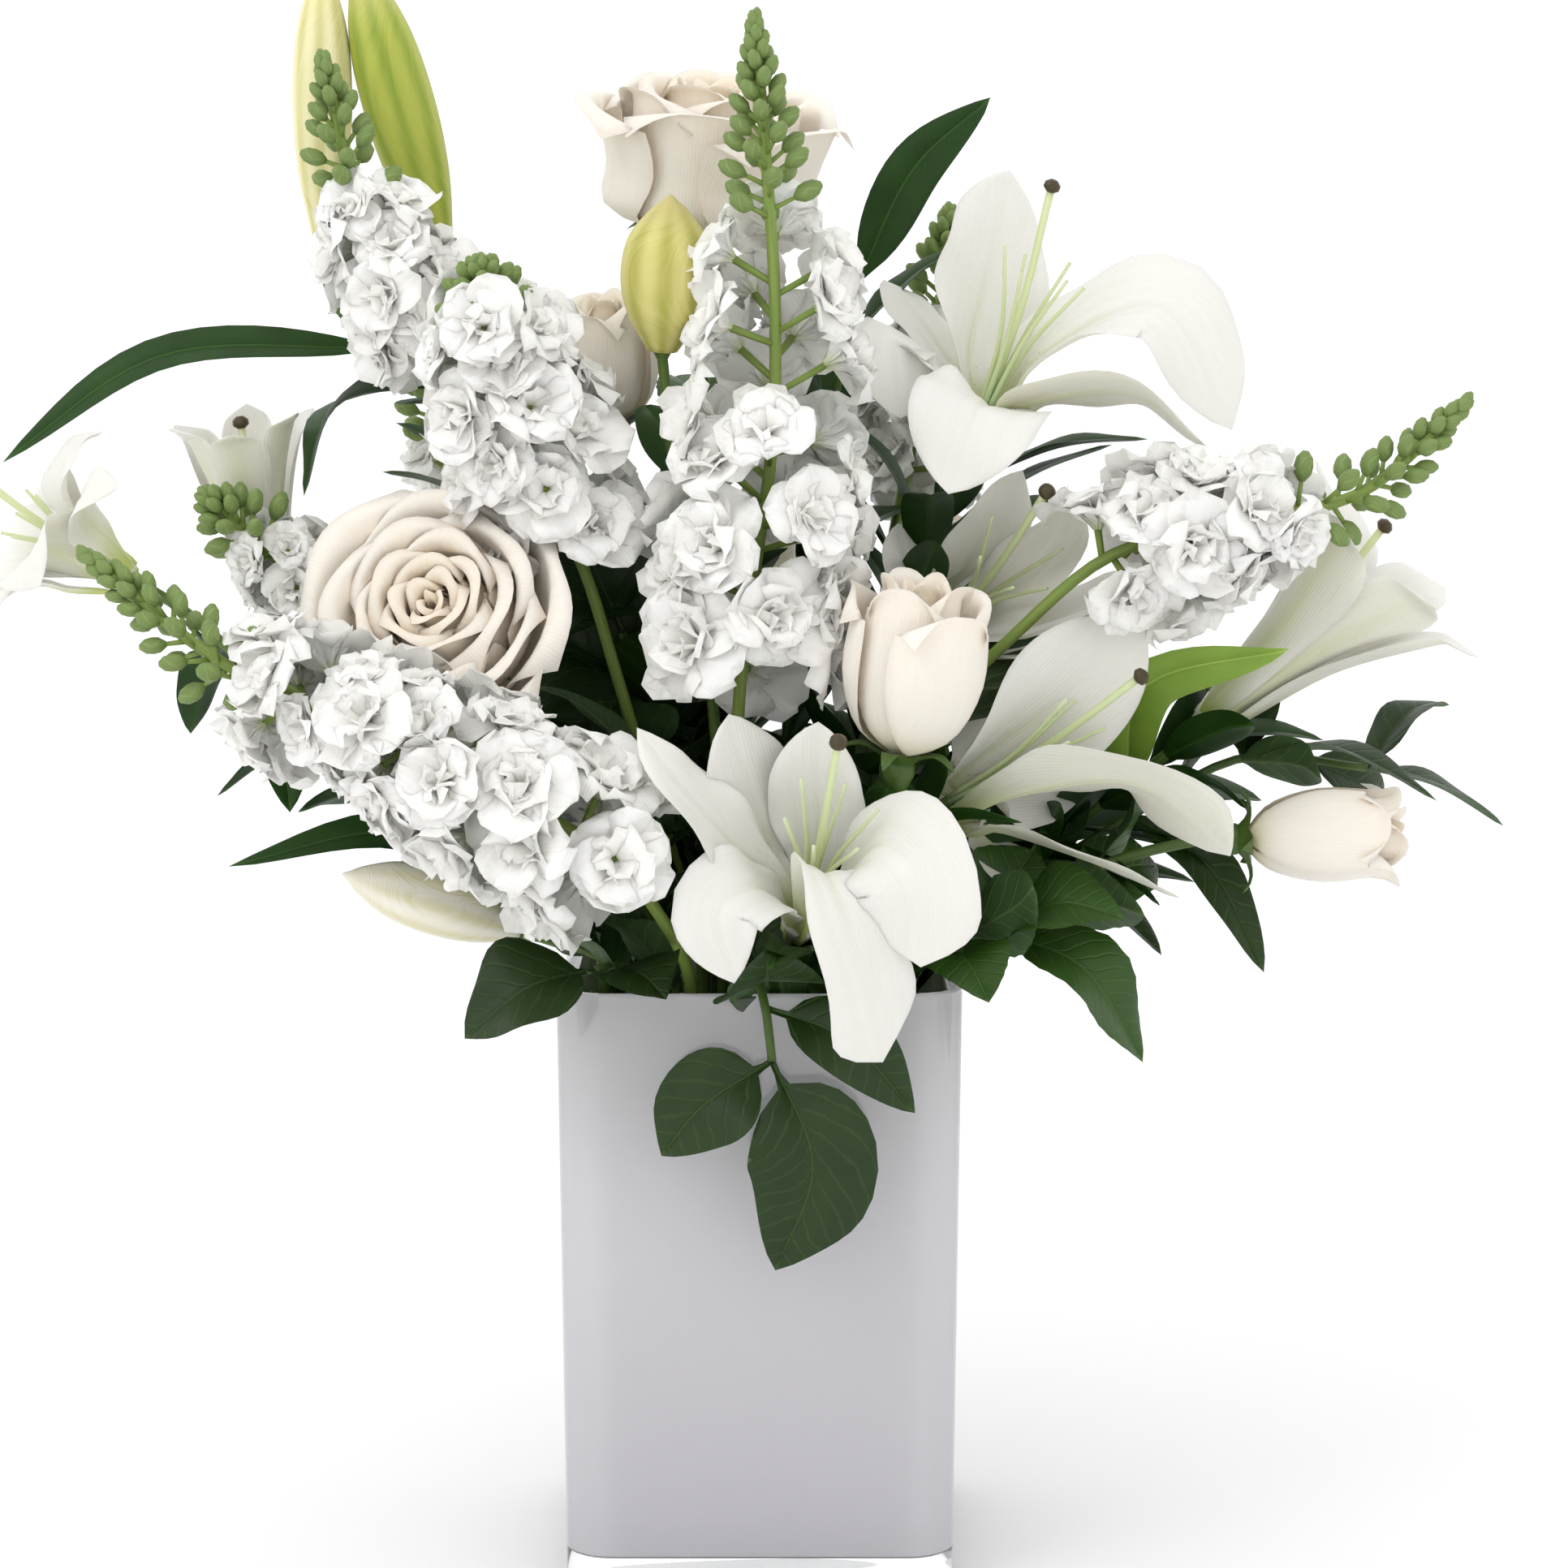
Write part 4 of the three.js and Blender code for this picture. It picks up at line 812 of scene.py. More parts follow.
# %% [markdown]
# ### Walls
# The glass was blown into a mould and its lip melted round. A wall goes up the outside, over the
# lip and down the inside. A thickening modifier could make it from one shell, but the floor would
# be as thin as the walls, and the real one is much thicker.

# %% Walls from rings
FOOT_EDGE, FOOT_EASE = 1.2, 0.35  # mm that the foot's edge is cut back, and at its middle ring
FLOOR_EDGE = 1.5  # mm that the inside slopes in before it meets the floor
LIP_TURN = 0.3  # the share of the lip's radius where its middle ring stands
CRISP = math.radians(40)  # edges that turn more than this are drawn crisp


def pot_rings(inset, low, high, wall, floor, lip):
    """Up the outside, round the lip, and down the inside to the floor."""
    middle, turn, inner = (low + high) / 2, LIP_TURN * lip, inset + wall
    outside = [
        (inset + FOOT_EDGE, low), (inset + FOOT_EASE, low + FOOT_EASE),
        (inset, low + FOOT_EDGE), (inset, middle),
    ]
    over = [(inset, high - lip), (inset + turn, high - turn), (inset + lip, high)]
    back = [(inner - lip, high), (inner - turn, high - turn), (inner, high - lip)]
    inside = [(inner, middle), (inner, floor + FLOOR_EDGE), (inner + FLOOR_EDGE, floor)]
    return [rounded_square(*ring) for ring in outside + over + back + inside]


def walls(name, rings, finish, node, slot):
    """A closed pot over rings of the plan, capped at its first and last ring."""
    skin = Skin(name)
    count = len(rings[0])
    faces = [list(range(count))[::-1]]
    for i in range(len(rings) - 1):
        for k in range(count):
            a, b = i * count + k, i * count + (k + 1) % count
            faces.append([a, b, b + count, a + count])
    faces.append([(len(rings) - 1) * count + k for k in range(count)])
    points = np.concatenate(rings)
    facts, smooth = np.zeros((len(points), len(FACTS))), np.zeros(len(points), bool)
    skin.add(points, facts, faces, [0] * len(faces), smooth)
    piece = skin.finish([finish], node, slot=slot)
    piece.data.set_sharp_from_angle(angle=CRISP)
    return piece


print("edges over", round(math.degrees(CRISP)), "degrees are crisp")

# %% [markdown]
# ### The two layers and the water
# The clear glass is 4.5 mm thick with a 12 mm floor. The white layer is 1 mm thick and ends 1 mm
# under the lip. They could be one mesh with two finishes, but light has to pass out of one layer
# and into the other. The water's plain solid is already right, so it only gets its finish.

# %% The vase and its white layer
HEIGHT, WALL, FLOOR = VASE["height"], VASE["wall"], VASE["floor"]
BELOW_LIP = 1  # mm from the clear glass's lip down to the white layer's
glass_rings = pot_rings(0, 0, HEIGHT, WALL, FLOOR, lip=1.3)
walls("vase_clear_glass", glass_rings, CLEAR_GLASS, "vase_glass", "clear_glass")
low = FLOOR + GAP
white_rings = pot_rings(WALL - FUSED, low, HEIGHT - BELOW_LIP, LINING, low + LINING, lip=0.25)
walls("vase_white_layer", white_rings, WHITE_GLASS, "vase_lining", "white_glass")
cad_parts["water"].data.materials.clear()
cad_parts["water"].data.materials.append(STILL_WATER)
print("vase", VASE["side"], "mm wide and", HEIGHT, "mm high")

# %% [markdown]
# ## Lilies
# A lily has three broad inner tepals and three narrow outer ones. Each leaves the throat along the
# flower's axis, then bends out and curls back at its tip. They could all be one shape, turned
# round, but no two on a real bloom are alike, so the layout gives three places that each passes.

# %% Where each tepal goes
LILY = {"stem": 2.6, "plug": 9, "nub": 13.6, "filament": 54, "pistil": 74}
TEPAL = {
    "wide": {"widths": [4, 19, 40, 39], "cups": [0.3, 0.45, 0.2, 0.1, 0.0]},
    "slim": {"widths": [4, 14, 29, 27], "cups": [0.05, 0.1, 0.05, 0.0, 0.0]},
}
OPEN = {"wide": [6, 20, 42, 66, 96, 128], "slim": [16, 34, 56, 78, 104, 132]}


def six_tepals(length, first, wide):
    """A regular bloom, for the lilies that are far off or at the back."""
    return [
        {
            "turn": first + 60 * i, "leans": OPEN["slim" if i % 2 else "wide"],
            "length": length - 3 * (i % 3), "slim": i % 2 == 1, "wide": wide,
        }
        for i in range(6)
    ]


LILIES = {
    "lily_front": {
        "base": [12, -62, 213], "axis": [0.15, -0.7, 0.7], "mouth": [10, -44],
        "tepals": [
            {"via": [[-6, -88, 243], [-24, -100, 266], [-36, -100, 282]], "widths": [4, 15, 27, 26]},
            {"via": [[2, -72, 246], [-5, -80, 268], [-9, -84, 284]], "slim": True, "wide": 1.15},
            {"via": [[18, -72, 246], [17, -80, 264], [18, -86, 282]], "slim": True},
            {"via": [[0, -100, 234], [-12, -110, 228], [-7, -112, 207]], "widths": [4, 14, 27, 30]},
            {
                "via": [[20, -108, 240], [29, -122, 218], [37, -116, 184]], "widths": [4, 12, 24, 38],
                "shoulder": 0.86,
            },
            {
                "via": [[35, -102, 247], [47, -118, 240], [48, -118, 213]], "widths": [4, 13, 33, 39],
                "shoulder": 0.82,
            },
        ],
    },
    "lily_low_right": {
        "base": [50, -38, 246], "axis": [0.8, -0.35, 0.45], "mouth": [24, -28],
        "tepals": [
            {"via": [[72, -46, 268], [97, -50, 288], [119, -46, 308]], "wide": 1.05, "roll": [0, -75]},
            {"via": [[80, -54, 256], [116, -62, 260], [146, -54, 236]], "shoulder": 0.78},
            {"via": [[76, -50, 244], [106, -54, 234], [131, -48, 222]], "slim": True},
            {"via": [[66, -26, 266], [82, -16, 280], [98, -14, 290]], "slim": True},
            {"via": [[68, -24, 256], [88, -12, 256], [106, -6, 252]]},
            {"via": [[68, -34, 240], [84, -36, 226], [94, -36, 208]], "slim": True},
        ],
    },
    "lily_top_right": {
        "base": [67, 0, 360], "axis": [0.36, -0.24, 0.9], "mouth": [14, 14],
        "tepals": [
            {"via": [[67, 5, 392], [74, 12, 420], [80, 18, 447]], "wide": 1.15},
            {"via": [[90, -6, 390], [126, -12, 404], [148, -22, 366]], "wide": 1.1},
            {"via": [[88, -24, 376], [116, -36, 378], [138, -42, 362]], "slim": True, "wide": 1.3},
            {"via": [[72, -28, 374], [66, -46, 372], [58, -52, 348]]},
            {"via": [[56, -14, 384], [42, -20, 394], [44, -32, 370]], "slim": True},
            {"via": [[58, 10, 390], [48, 18, 404], [40, 26, 412]], "slim": True},
        ],
    },
    "lily_right": {
        "base": [56, 10, 296], "axis": [0.4, -0.75, 0.52], "mouth": [22, -6], "leaf_roots": (-3, -5),
        "tepals": [
            {"via": [[66, -8, 322], [76, -14, 338], [83, -14, 353]], "slim": True, "wide": 1.1},
            {"via": [[78, -14, 314], [92, -18, 328], [100, -14, 342]], "wide": 0.8},
            {"via": [[84, -24, 304], [114, -26, 314], [142, -14, 320]], "wide": 1.05},
            {"via": [[80, -28, 296], [104, -34, 299], [124, -30, 301]], "slim": True},
            {"via": [[50, -8, 314], [46, -12, 324], [44, -10, 336]], "slim": True},
            {"via": [[50, -10, 288], [42, -16, 280], [36, -18, 270]], "slim": True},
        ],
    },
    "lily_far_right": {
        "base": [142, 0, 270], "axis": [0.72, -0.15, 0.68], "mouth": [48, 10], "trumpet": 88, "flare": 1.1,
        "leaves": [
            {
                "at": -3, "tip": [166, -32, 298], "bow": [-20, -10, 12], "kind": "lance", "wide": 1.2,
                # painted backlight: this leaf takes the finish drawn brighter, as if lit from behind
                "fresh_backlit": True, "face": [0, -1, 0.3],
            },
        ],
    },
    "lily_back": {
        "base": [-18, 74, 268], "axis": [-0.1, 0.85, 0.5], "mouth": [-6, 48],
        "tepals": six_tepals(84, 30, 1),
    },
}
LILY_PAIR = {
    "lily_far_left": {
        "base": [-203, 12, 316], "axis": [-0.75, -0.3, 0.5], "centre": 0.6,
        "tepals": six_tepals(60, 0, 0.75),
    },
    "lily_left": {
        "base": [-161, 25, 308], "axis": [-0.12, -0.1, 0.95], "centre": 0.62, "trumpet": 64, "flare": 0.68,
    },
}
for each in [*LILIES.values(), *LILY_PAIR.values()]:
    each["axis"] = unit(vec(each["axis"]))

print("lilies laid out:", ", ".join([*LILIES, *LILY_PAIR]))

# %% [markdown]
# ### Sweeping a blade
# At even steps along a midline a row of points is laid across it. A modifier could bend a flat
# blade along a curve, but it would stretch the edges. Here the width and the lift of each point
# are two small functions that any petal or leaf can give.

# %% Sweeping
RIB_PLACES = np.array([-1, -0.92, -0.76, -0.6, -0.45, -0.3, -0.12, 0, 0.12, 0.3, 0.45, 0.6, 0.76, 0.92, 1])
LEAST_HALF = 0.05  # mm, so that a pointed end still has a direction


def surface_lift(grid):
    """The unit normal at each point of a grid, on the side that a blade's face looks to."""
    lift = np.cross(np.gradient(grid, axis=1), np.gradient(grid, axis=0))
    return lift / np.maximum(np.linalg.norm(lift, axis=2, keepdims=True), 1e-9)


def swept(path, face, width_at, lift_at, rows, places=RIB_PLACES, roll=(0, 0)):
    """A grid over a midline, from its width and each point's lift off the midline's plane."""
    curve = Curve(path)
    normal = vec(face)
    grid, halves = [], []
    for u in np.linspace(0, 1, rows):
        at, along = curve.at(u), curve.along(u)
        normal = sideways(normal, along)
        angle = math.radians(roll[0] + (roll[1] - roll[0]) * u)
        up = normal * math.cos(angle) + np.cross(along, normal) * math.sin(angle)
        side = np.cross(along, up)
        half = max(width_at(u) / 2, LEAST_HALF)
        grid.append([at + side * (v * half) + up * lift_at(u, v, half) for v in places])
        halves.append(half)
    grid = np.array(grid)
    return grid, surface_lift(grid), curve.length, halves


print("a tepal has", len(RIB_PLACES), "points across")

# %% [markdown]
# ### One tepal
# A real tepal has a sunken rib with a groove at each side, edges that ripple, and a small hooked
# tip. A bump in the finish could hint at them, but it would leave the outline smooth, so they are
# added to the lift. Each tepal ripples at its own pace, so that no two catch the light alike.

# %% The grid of a tepal
SHOULDER = 0.66  # the share of a tepal where its end begins
THROAT = 12  # mm that a tepal runs along the axis before it leaves the throat
ROOTS = {"wide": (1.5, 4.4, 1.6), "slim": (3.5, 5.6, 6.5)}  # mm up, mm out, and mm out at the throat
RIB_DEPTH, RIB_HALF = 1.3, 1.7  # mm
GROOVE_DEPTH, GROOVE_HALF, GROOVE_AT = 0.6, 1.5, 6.5  # mm, the last from the rib
FULL_TURN = 6.28


def tepal_grid(seat, each, chance):
    at, _, _, axis = seat
    kind, wide = "slim" if each.get("slim") else "wide", each.get("wide", 1)
    if "via" in each:
        out = sideways(vec(each["via"][0]) - at, axis)
    else:
        out = spoke(seat, each["turn"])
    up, aside, further = ROOTS[kind]
    root = at + axis * up + out * aside
    throat = root + axis * THROAT + out * further
    if "via" in each:
        rest = each["via"]
    else:
        rest = leaning(throat, axis, out, each["length"] - THROAT, each["leans"])[1:]
    widths, cups = each.get("widths", TEPAL[kind]["widths"]), TEPAL[kind]["cups"]
    phase, second = chance.uniform(0, FULL_TURN), chance.uniform(0, FULL_TURN)
    ripples = chance.uniform(2.2, 3.2)
    ripple = {"wide": 2.2, "slim": 1.0}[kind] * min(1, wide)
    shoulder = each.get("shoulder", SHOULDER)

    def width_at(u):
        """The laid-out widths as far as the shoulder, and then a bluntly pointed end."""
        full = wide * along_list([*widths, 0.85 * widths[3]], min(u, shoulder))
        return full * (1 - (max(0, u - shoulder) / (1 - shoulder)) ** 1.9) ** 0.85

    def lift_at(u, v, half):
        """The cup of the blade, its ruffled edge, its rib and grooves, and its hooked tip."""
        cup = along_list(cups, u) * half * abs(v) ** 1.7
        ruffle = ripple * min(1, 2.2 * u) * (1 - u**6) * abs(v) ** 3
        swing = math.sin(2 * math.pi * ripples * u + phase + (second if v > 0 else 0))
        rib = -RIB_DEPTH * math.exp(-((v * half / RIB_HALF) ** 2)) * max(0, 1 - u**2)
        groove = math.exp(-(((abs(v) * half - GROOVE_AT) / GROOVE_HALF) ** 2))
        rib -= GROOVE_DEPTH * groove * max(0, 1 - u**1.5)
        hook = -0.12 * half * max(0, (u - 0.8) / 0.2) ** 2
        return cup + ruffle * swing + rib + hook

    return swept([root, throat, *rest], -out, width_at, lift_at, 26, RIB_PLACES, each.get("roll", (0, 0)))


print("a tepal's rib is", RIB_DEPTH, "mm deep")

# %% [markdown]
# ### Half-open lilies
# A lily that has just opened is a trumpet: its tepals lie on one another round the axis and only
# their ends bend out. Six swept tepals might cross. It is easier to wrap a grid round the axis, by
# its distance, its height and how much of the turn it covers. Rose petals are wrapped too.

# %% Wrapping a grid round an axis
WRAP_PLACES = np.linspace(-1, 1, 13)
WRAP_MIDDLE = len(WRAP_PLACES) // 2
LEAST_COVER = 0.05  # degrees


def wrapped(seat, turn, root, stations, rows, shape):
    """A grid that wraps round an axis. shape(u, v) adds to the distance and the height."""
    at, _, _, axis = seat
    table = np.array([[root[0], root[1], 0.5 * stations[0][2]], *stations], float)
    grid, halves = [], []
    for u in np.linspace(0, 1, rows):
        radius, height, cover = (along_list(table[:, k], u) for k in range(3))
        cover = max(cover, LEAST_COVER)
        row = []
        for v in WRAP_PLACES:
            more, higher = shape(u, v)
            row.append(at + spoke(seat, turn + v * cover) * (radius + more) + axis * (height + higher))
        grid.append(row)
        halves.append(math.radians(cover) * radius)
    grid = np.array(grid)
    length = float(np.linalg.norm(np.diff(grid[:, WRAP_MIDDLE], axis=0), axis=1).sum())
    lift = surface_lift(grid)
    middle = grid[rows // 2, WRAP_MIDDLE]
    inward = at + axis * np.dot(middle - at, axis) - middle
    if np.dot(lift[rows // 2, WRAP_MIDDLE], inward) < 0:
        lift = -lift
    return grid, lift, length, halves


def trumpet_tepals(seat, length, flare, chance):
    """Three broad tepals, and three outer ones that lie over their gaps."""
    for i in range(6):
        outer, reach = (2.4, 0.96) if i % 2 else (0, 1)
        stations = [(5.5, 0.16, 46), (6 + 6 * flare, 0.52, 42), (24 * flare, 0.85, 30), (31 * flare, 1, 0)]
        stations = [(radius + outer, share * reach * length, cover) for radius, share, cover in stations]
        up, aside, _ = ROOTS["slim" if i % 2 else "wide"]
        phase = chance.uniform(0, FULL_TURN)

        def shape(u, v):
            ruffle = 1.1 * abs(v) ** 3 * u * (1 - u**6) * math.sin(15 * u + phase + (2 if v > 0 else 0))
            curl = 7 * flare * max(0, u - 0.82) / 0.18
            rib = 0.8 * math.exp(-((v / 0.12) ** 2)) * (1 - u)
            return ruffle + curl * 0.7 + rib, -0.5 * curl

        yield wrapped(seat, 60 * i, (aside, up), stations, 24, shape)


print("a wrapped petal has", len(WRAP_PLACES), "points across")

# %% [markdown]
# ### The blooms
# The tepals grow from a small green cup at the end of the stalk. They could all start from one
# point there, but then they would cut through each other, so the slim ones start further up and
# out, as on the real flower.

# %% Lily blooms
CUP_HEIGHTS = (0.0, 3.0, 6.0, LILY["plug"])
CUP_SWELLS = (1.6, 2.6, 3.4, 4.2)  # mm that the cup is wider than the stem at each height
TEPAL_THICK = 0.9  # mm


def lily_bloom(name, lily):
    chance = random.Random(name)
    seat = frame_at(lily["base"], lily["axis"])
    skin = Skin(f"{name}_tepals")
    base, axis = seat[0], seat[3]
    cup = [base + axis * h for h in CUP_HEIGHTS]
    lay_tube(skin, cup, [LILY["stem"] + swell for swell in CUP_SWELLS], 16, slot=1)
    if "trumpet" in lily:
        blades = trumpet_tepals(seat, lily["trumpet"], lily["flare"], chance)
    else:
        blades = (tepal_grid(seat, each, chance) for each in lily["tepals"])
    for grid, lift, length, halves in blades:
        lay_blade(skin, grid, lift, TEPAL_THICK, length, halves, shade=chance.random(), slots=(0, 1))
    return skin.finish([LILY_TEPAL, LILY_OUTSIDE], f"{name}_bloom", slot="lily_petals")


for name, lily in {**LILIES, **LILY_PAIR}.items():
    piece = lily_bloom(name, lily)
print("lilies:", len(LILIES) + len(LILY_PAIR), "with", len(piece.data.polygons), "faces in the last")

# %% [markdown]
# ## Lily buds
# A closed bud is a spindle of three broad tepals that meet in shallow grooves. It could be the
# bloom's six tepals, closed, but nothing inside would ever show. It is made as rings of points
# whose distance from the axis falls in three grooves a turn.

# %% Buds
BUDS = {
    "bud_top_cream": {"base": [-142, 35, 424], "tip": [-141, 34, 516], "radius": 9.5, "finish": BUD_CREAM},
    "bud_top_green": {"base": [-104, 40, 420], "tip": [-130, 32, 517], "radius": 11.5, "finish": BUD_GREEN},
    "bud_centre": {"base": [-30, -30, 391], "tip": [-27, -37, 439], "radius": 14, "finish": BUD_RIPE},
    "bud_low_left": {"base": [-76, -28, 208], "tip": [-131, -38, 228], "radius": 10.5, "finish": BUD_PALE},
}
BUD_SHAPE = [0.34, 0.86, 1.03, 0.84, 0.1]
BUD_SIDES, BUD_ROWS = 36, 25
GROOVE = 0.13  # the share of a bud's radius that a groove is deep


def lily_bud(name, bud):
    base, tip = vec(bud["base"]), vec(bud["tip"])
    seat = frame_at(base, tip - base)
    length = np.linalg.norm(tip - base)
    points, facts, faces = [], [], []
    for i in range(BUD_ROWS):
        u = i / (BUD_ROWS - 1)
        share = along_list(BUD_SHAPE, u) * min(1, (1.002 - u) * 14) ** 0.5
        for k in range(BUD_SIDES):
            angle = 360 * k / BUD_SIDES
            fold = (0.5 - 0.5 * math.cos(math.radians(3 * angle))) ** 3
            radius = bud["radius"] * share * (1 - GROOVE * fold * math.sin(math.pi * u))
            points.append(base + seat[3] * length * u + spoke(seat, angle) * radius)
            facts.append((u, 2 * k / BUD_SIDES - 1, length * u, radius * math.radians(angle), 0.5))
    for i in range(BUD_ROWS - 1):
        for k in range(BUD_SIDES):
            a, b = i * BUD_SIDES + k, i * BUD_SIDES + (k + 1) % BUD_SIDES
            faces.append([a, b, b + BUD_SIDES, a + BUD_SIDES])
    last = (BUD_ROWS - 1) * BUD_SIDES
    faces += [list(range(BUD_SIDES))[::-1], [last + k for k in range(BUD_SIDES)]]
    skin = Skin(f"{name}_tepals")
    skin.add(np.array(points), np.array(facts), faces, [0] * len(faces), np.zeros(len(points), bool))
    pale = bud["finish"] in (BUD_CREAM, BUD_PALE)
    return skin.finish([bud["finish"]], name, slot="bud_cream" if pale else "bud_green")


for name, bud in BUDS.items():
    lily_bud(name, bud)
print("buds:", len(BUDS))

# %% [markdown]
# ## Roses
# A rose is petals wrapped round each other, each starting a golden angle on from the last. The
# inner ones stay upright and hide the heart, and the outer ones are wider, open further, and roll
# their lips back. Petals could be laid out one by one, as the lilies' are, but there are over a
# hundred, and one rule that goes from heart to rim gives them all.

# %% Where each rose stands
ROSES = {
    "rose_top": {
        "base": [-18, 30, 426], "axis": [0.08, -0.2, 1], "radius": 42, "height": 54, "open": 0.5,
        "petals": 22, "mouth": [-8, 14], "foot": 0.96,
    },
    "rose_left": {
        "base": [-92, -30, 298], "axis": [-0.25, -0.8, 0.5], "radius": 40, "height": 42, "open": 0.6,
        "petals": 26, "mouth": [-28, -30],
    },
    "rose_centre": {
        "base": [43, -70, 269], "axis": [0.12, -0.1, 0.98], "radius": 26, "height": 58, "open": 0.12,
        "petals": 13, "mouth": [27, -46],
    },
    "rose_right": {
        "base": [153, -25, 237], "axis": [0.99, -0.08, 0.04], "radius": 19.5, "height": 53, "open": 0.1,
        "petals": 12, "mouth": [46, -28],
    },
    "rose_behind": {
        "base": [-47, 18, 366], "axis": [-0.1, -0.2, 0.97], "radius": 21, "height": 44, "open": 0.2,
        "petals": 12, "mouth": [-18, 30],
    },
    "rose_back": {
        "base": [64, 76, 285], "axis": [0.35, 0.6, 0.7], "radius": 33, "height": 44, "open": 0.6,
        "petals": 18, "mouth": [32, 48],
    },
}
for each in ROSES.values():
    each["axis"] = unit(vec(each["axis"]))
print("petals in all the roses:", sum(rose["petals"] for rose in ROSES.values()))

# %% [markdown]
# ### One rose petal
# A petal is narrow at its foot, widest at its belly, and bends out at its lip, which curls back
# and dips at the corners. It is wrapped round the rose's axis, so it needs only its distance, its
# height and how much of the turn it covers, at a few heights. out goes from 0 at the heart to 1
# at the outermost petal.

# %% The grid of a rose petal
FOOT = 0.72  # the foot's share of the belly's radius, more on a rose with full cheeks
LIP_FROM, LIP = 0.72, 0.28  # the share of a petal where its lip begins, and the lip's share


def rose_petal(seat, turn, out, rose, chance):
    radius, height, opened = rose["radius"], rose["height"], rose["open"]
    belly = radius * (0.1 + 0.76 * out)
    top = height * (0.9 + 0.1 * math.sin(math.pi * out) - 0.2 * opened * out**1.5)
    lip = belly * (0.72 + out * (0.2 + 0.5 * opened)) - 1.5 * (1 - out)
    cover = 104 - 52 * out  # degrees to each side
    stations = [
        (belly * rose.get("foot", FOOT), 0.18 * top, cover * 0.8),
        (belly, 0.5 * top, cover),
        (lip, 0.86 * top, cover * 0.92),
        (lip * 1.02, top, cover * 0.62),
    ]
    curl = (1.5 + 7 * opened * out) * chance.uniform(0.7, 1.3)
    phase, notch = chance.uniform(0, FULL_TURN), chance.uniform(-0.4, 0.4)

    def shape(u, v):
        """The lip's ruffle and curl, and how its corners dip."""
        s = max(0, (u - LIP_FROM) / LIP)
        ruffle = (0.5 + 1.2 * out) * s * math.sin(4 * v + phase)
        corner = 1 + 0.35 * abs(v - notch) ** 2
        more = curl * corner * s**2 + ruffle
        return more, -0.45 * curl * corner * s**2.5 - 0.2 * top * abs(v) ** 2.6 * s**0.8

    return wrapped(seat, turn, (2.6 * out + 0.6, 2.5 - 2 * out), stations, 15, shape)


print("a rose's lips curl over the last", LIP, "of each petal")

# %% [markdown]
# ### The blooms
# In the middle the youngest petals are rolled so tightly that nothing between them shows. More
# petals would only be hidden there, so a small cone fills the heart, in the heart's own colour.

# %% Rose blooms
ROSE_THICK = 0.7  # mm


def rose_bloom(name, rose):
    chance = random.Random(name)
    seat = frame_at(rose["base"], rose["axis"])
    skin = Skin(f"{name}_petals")
    heart = [seat[0] + seat[3] * h for h in (0, 0.25 * rose["height"], 0.55 * rose["height"])]
    lay_tube(skin, heart, [3.6, 0.16 * rose["radius"], 1.0], 10, shade=1.0)
    for i, out in enumerate(np.linspace(0, 1, rose["petals"])):
        grid, lift, length, halves = rose_petal(seat, i * GOLDEN, out, rose, chance)
        lay_blade(skin, grid, lift, ROSE_THICK, length, halves, shade=1 - out)
    return skin.finish([ROSE_PETAL], f"{name}_bloom", slot="rose_petals")


for name, rose in ROSES.items():
    rose_bloom(name, rose)
print("roses:", len(ROSES))

# %% [markdown]
# ## Stocks
# A stock carries double florets round its upper stem and ends in a cluster of green buds. A floret
# is about 32 mm across. One could be made and copied, but a head of copies looks like a pattern,
# so each is grown by itself. The solids have fewer, larger florets. The heads are laid out in the
# same places and filled with more florets of the true size, which reach as far out.

# %% Where each stock stands
STOCKS = {
    "stock_centre": {
        "line": [[-6, -56, 292], [-1, -53, 326], [5, -50, 375], [4, -46, 424], [-1, -45, 488]],
        "florets": 11, "to": 0.66, "core": 17, "size": 30, "mouth": [-6, -30], "buds": 9, "bare": 0.55,
    },
    "stock_left": {
        "line": [[-56, -28, 326], [-72, -38, 362], [-80, -46, 390], [-84, -54, 414]],
        "florets": 8, "to": 0.82, "core": 15, "size": 28, "mouth": [-20, 0], "buds": 5,
    },
    "stock_top_left": {
        "line": [[-98, 2, 388], [-116, 0, 416], [-128, 2, 440], [-137, 4, 478]],
        "florets": 5, "to": 0.5, "core": 10, "size": 21, "mouth": [-34, 14], "buds": 6,
    },
    "stock_front_left": {
        "line": [
            [-38, -88, 238], [-81, -92, 262], [-123, -84, 283], [-158, -75, 294], [-184, -66, 314],
            [-203, -60, 328],
        ],
        "florets": 11, "to": 0.62, "core": 14, "size": 28, "mouth": [-22, -50], "buds": 8,
    },
    "stock_behind_left": {
        "line": [[-136, 8, 300], [-148, 2, 316], [-160, -4, 330], [-173, -8, 342]],
        "florets": 4, "to": 0.6, "core": 8, "size": 17, "mouth": [-44, -12], "buds": 5,
    },
    "stock_right": {
        "line": [[104, -50, 326], [141, -52, 338], [166, -48, 343], [190, -42, 350], [216, -38, 373]],
        "florets": 5, "to": 0.46, "core": 10, "size": 23, "mouth": [38, -12], "buds": 7,
    },
    "stock_back_right": {
        "line": [[46, 56, 338], [54, 62, 372], [60, 60, 404], [62, 56, 430]],
        "florets": 4, "to": 0.6, "core": 9, "size": 20, "mouth": [26, 30], "buds": 6,
    },
    "stock_back_left": {
        "line": [[-70, 58, 264], [-90, 76, 306], [-104, 86, 344], [-116, 92, 388]],
        "florets": 5, "to": 0.7, "core": 10, "size": 21, "mouth": [-40, 50], "buds": 6,
    },
}
print("stocks laid out:", ", ".join(STOCKS))

# %% [markdown]
# ### How much the solid's florets shrank
# Where a head was crowded, a floret of the solid was made smaller until it was clear. The finer
# ones could all be full size, but they should stay where the solid has room. The corners of each
# floret's rim are worked out for each size, and those that lie on the solid tell which it has.

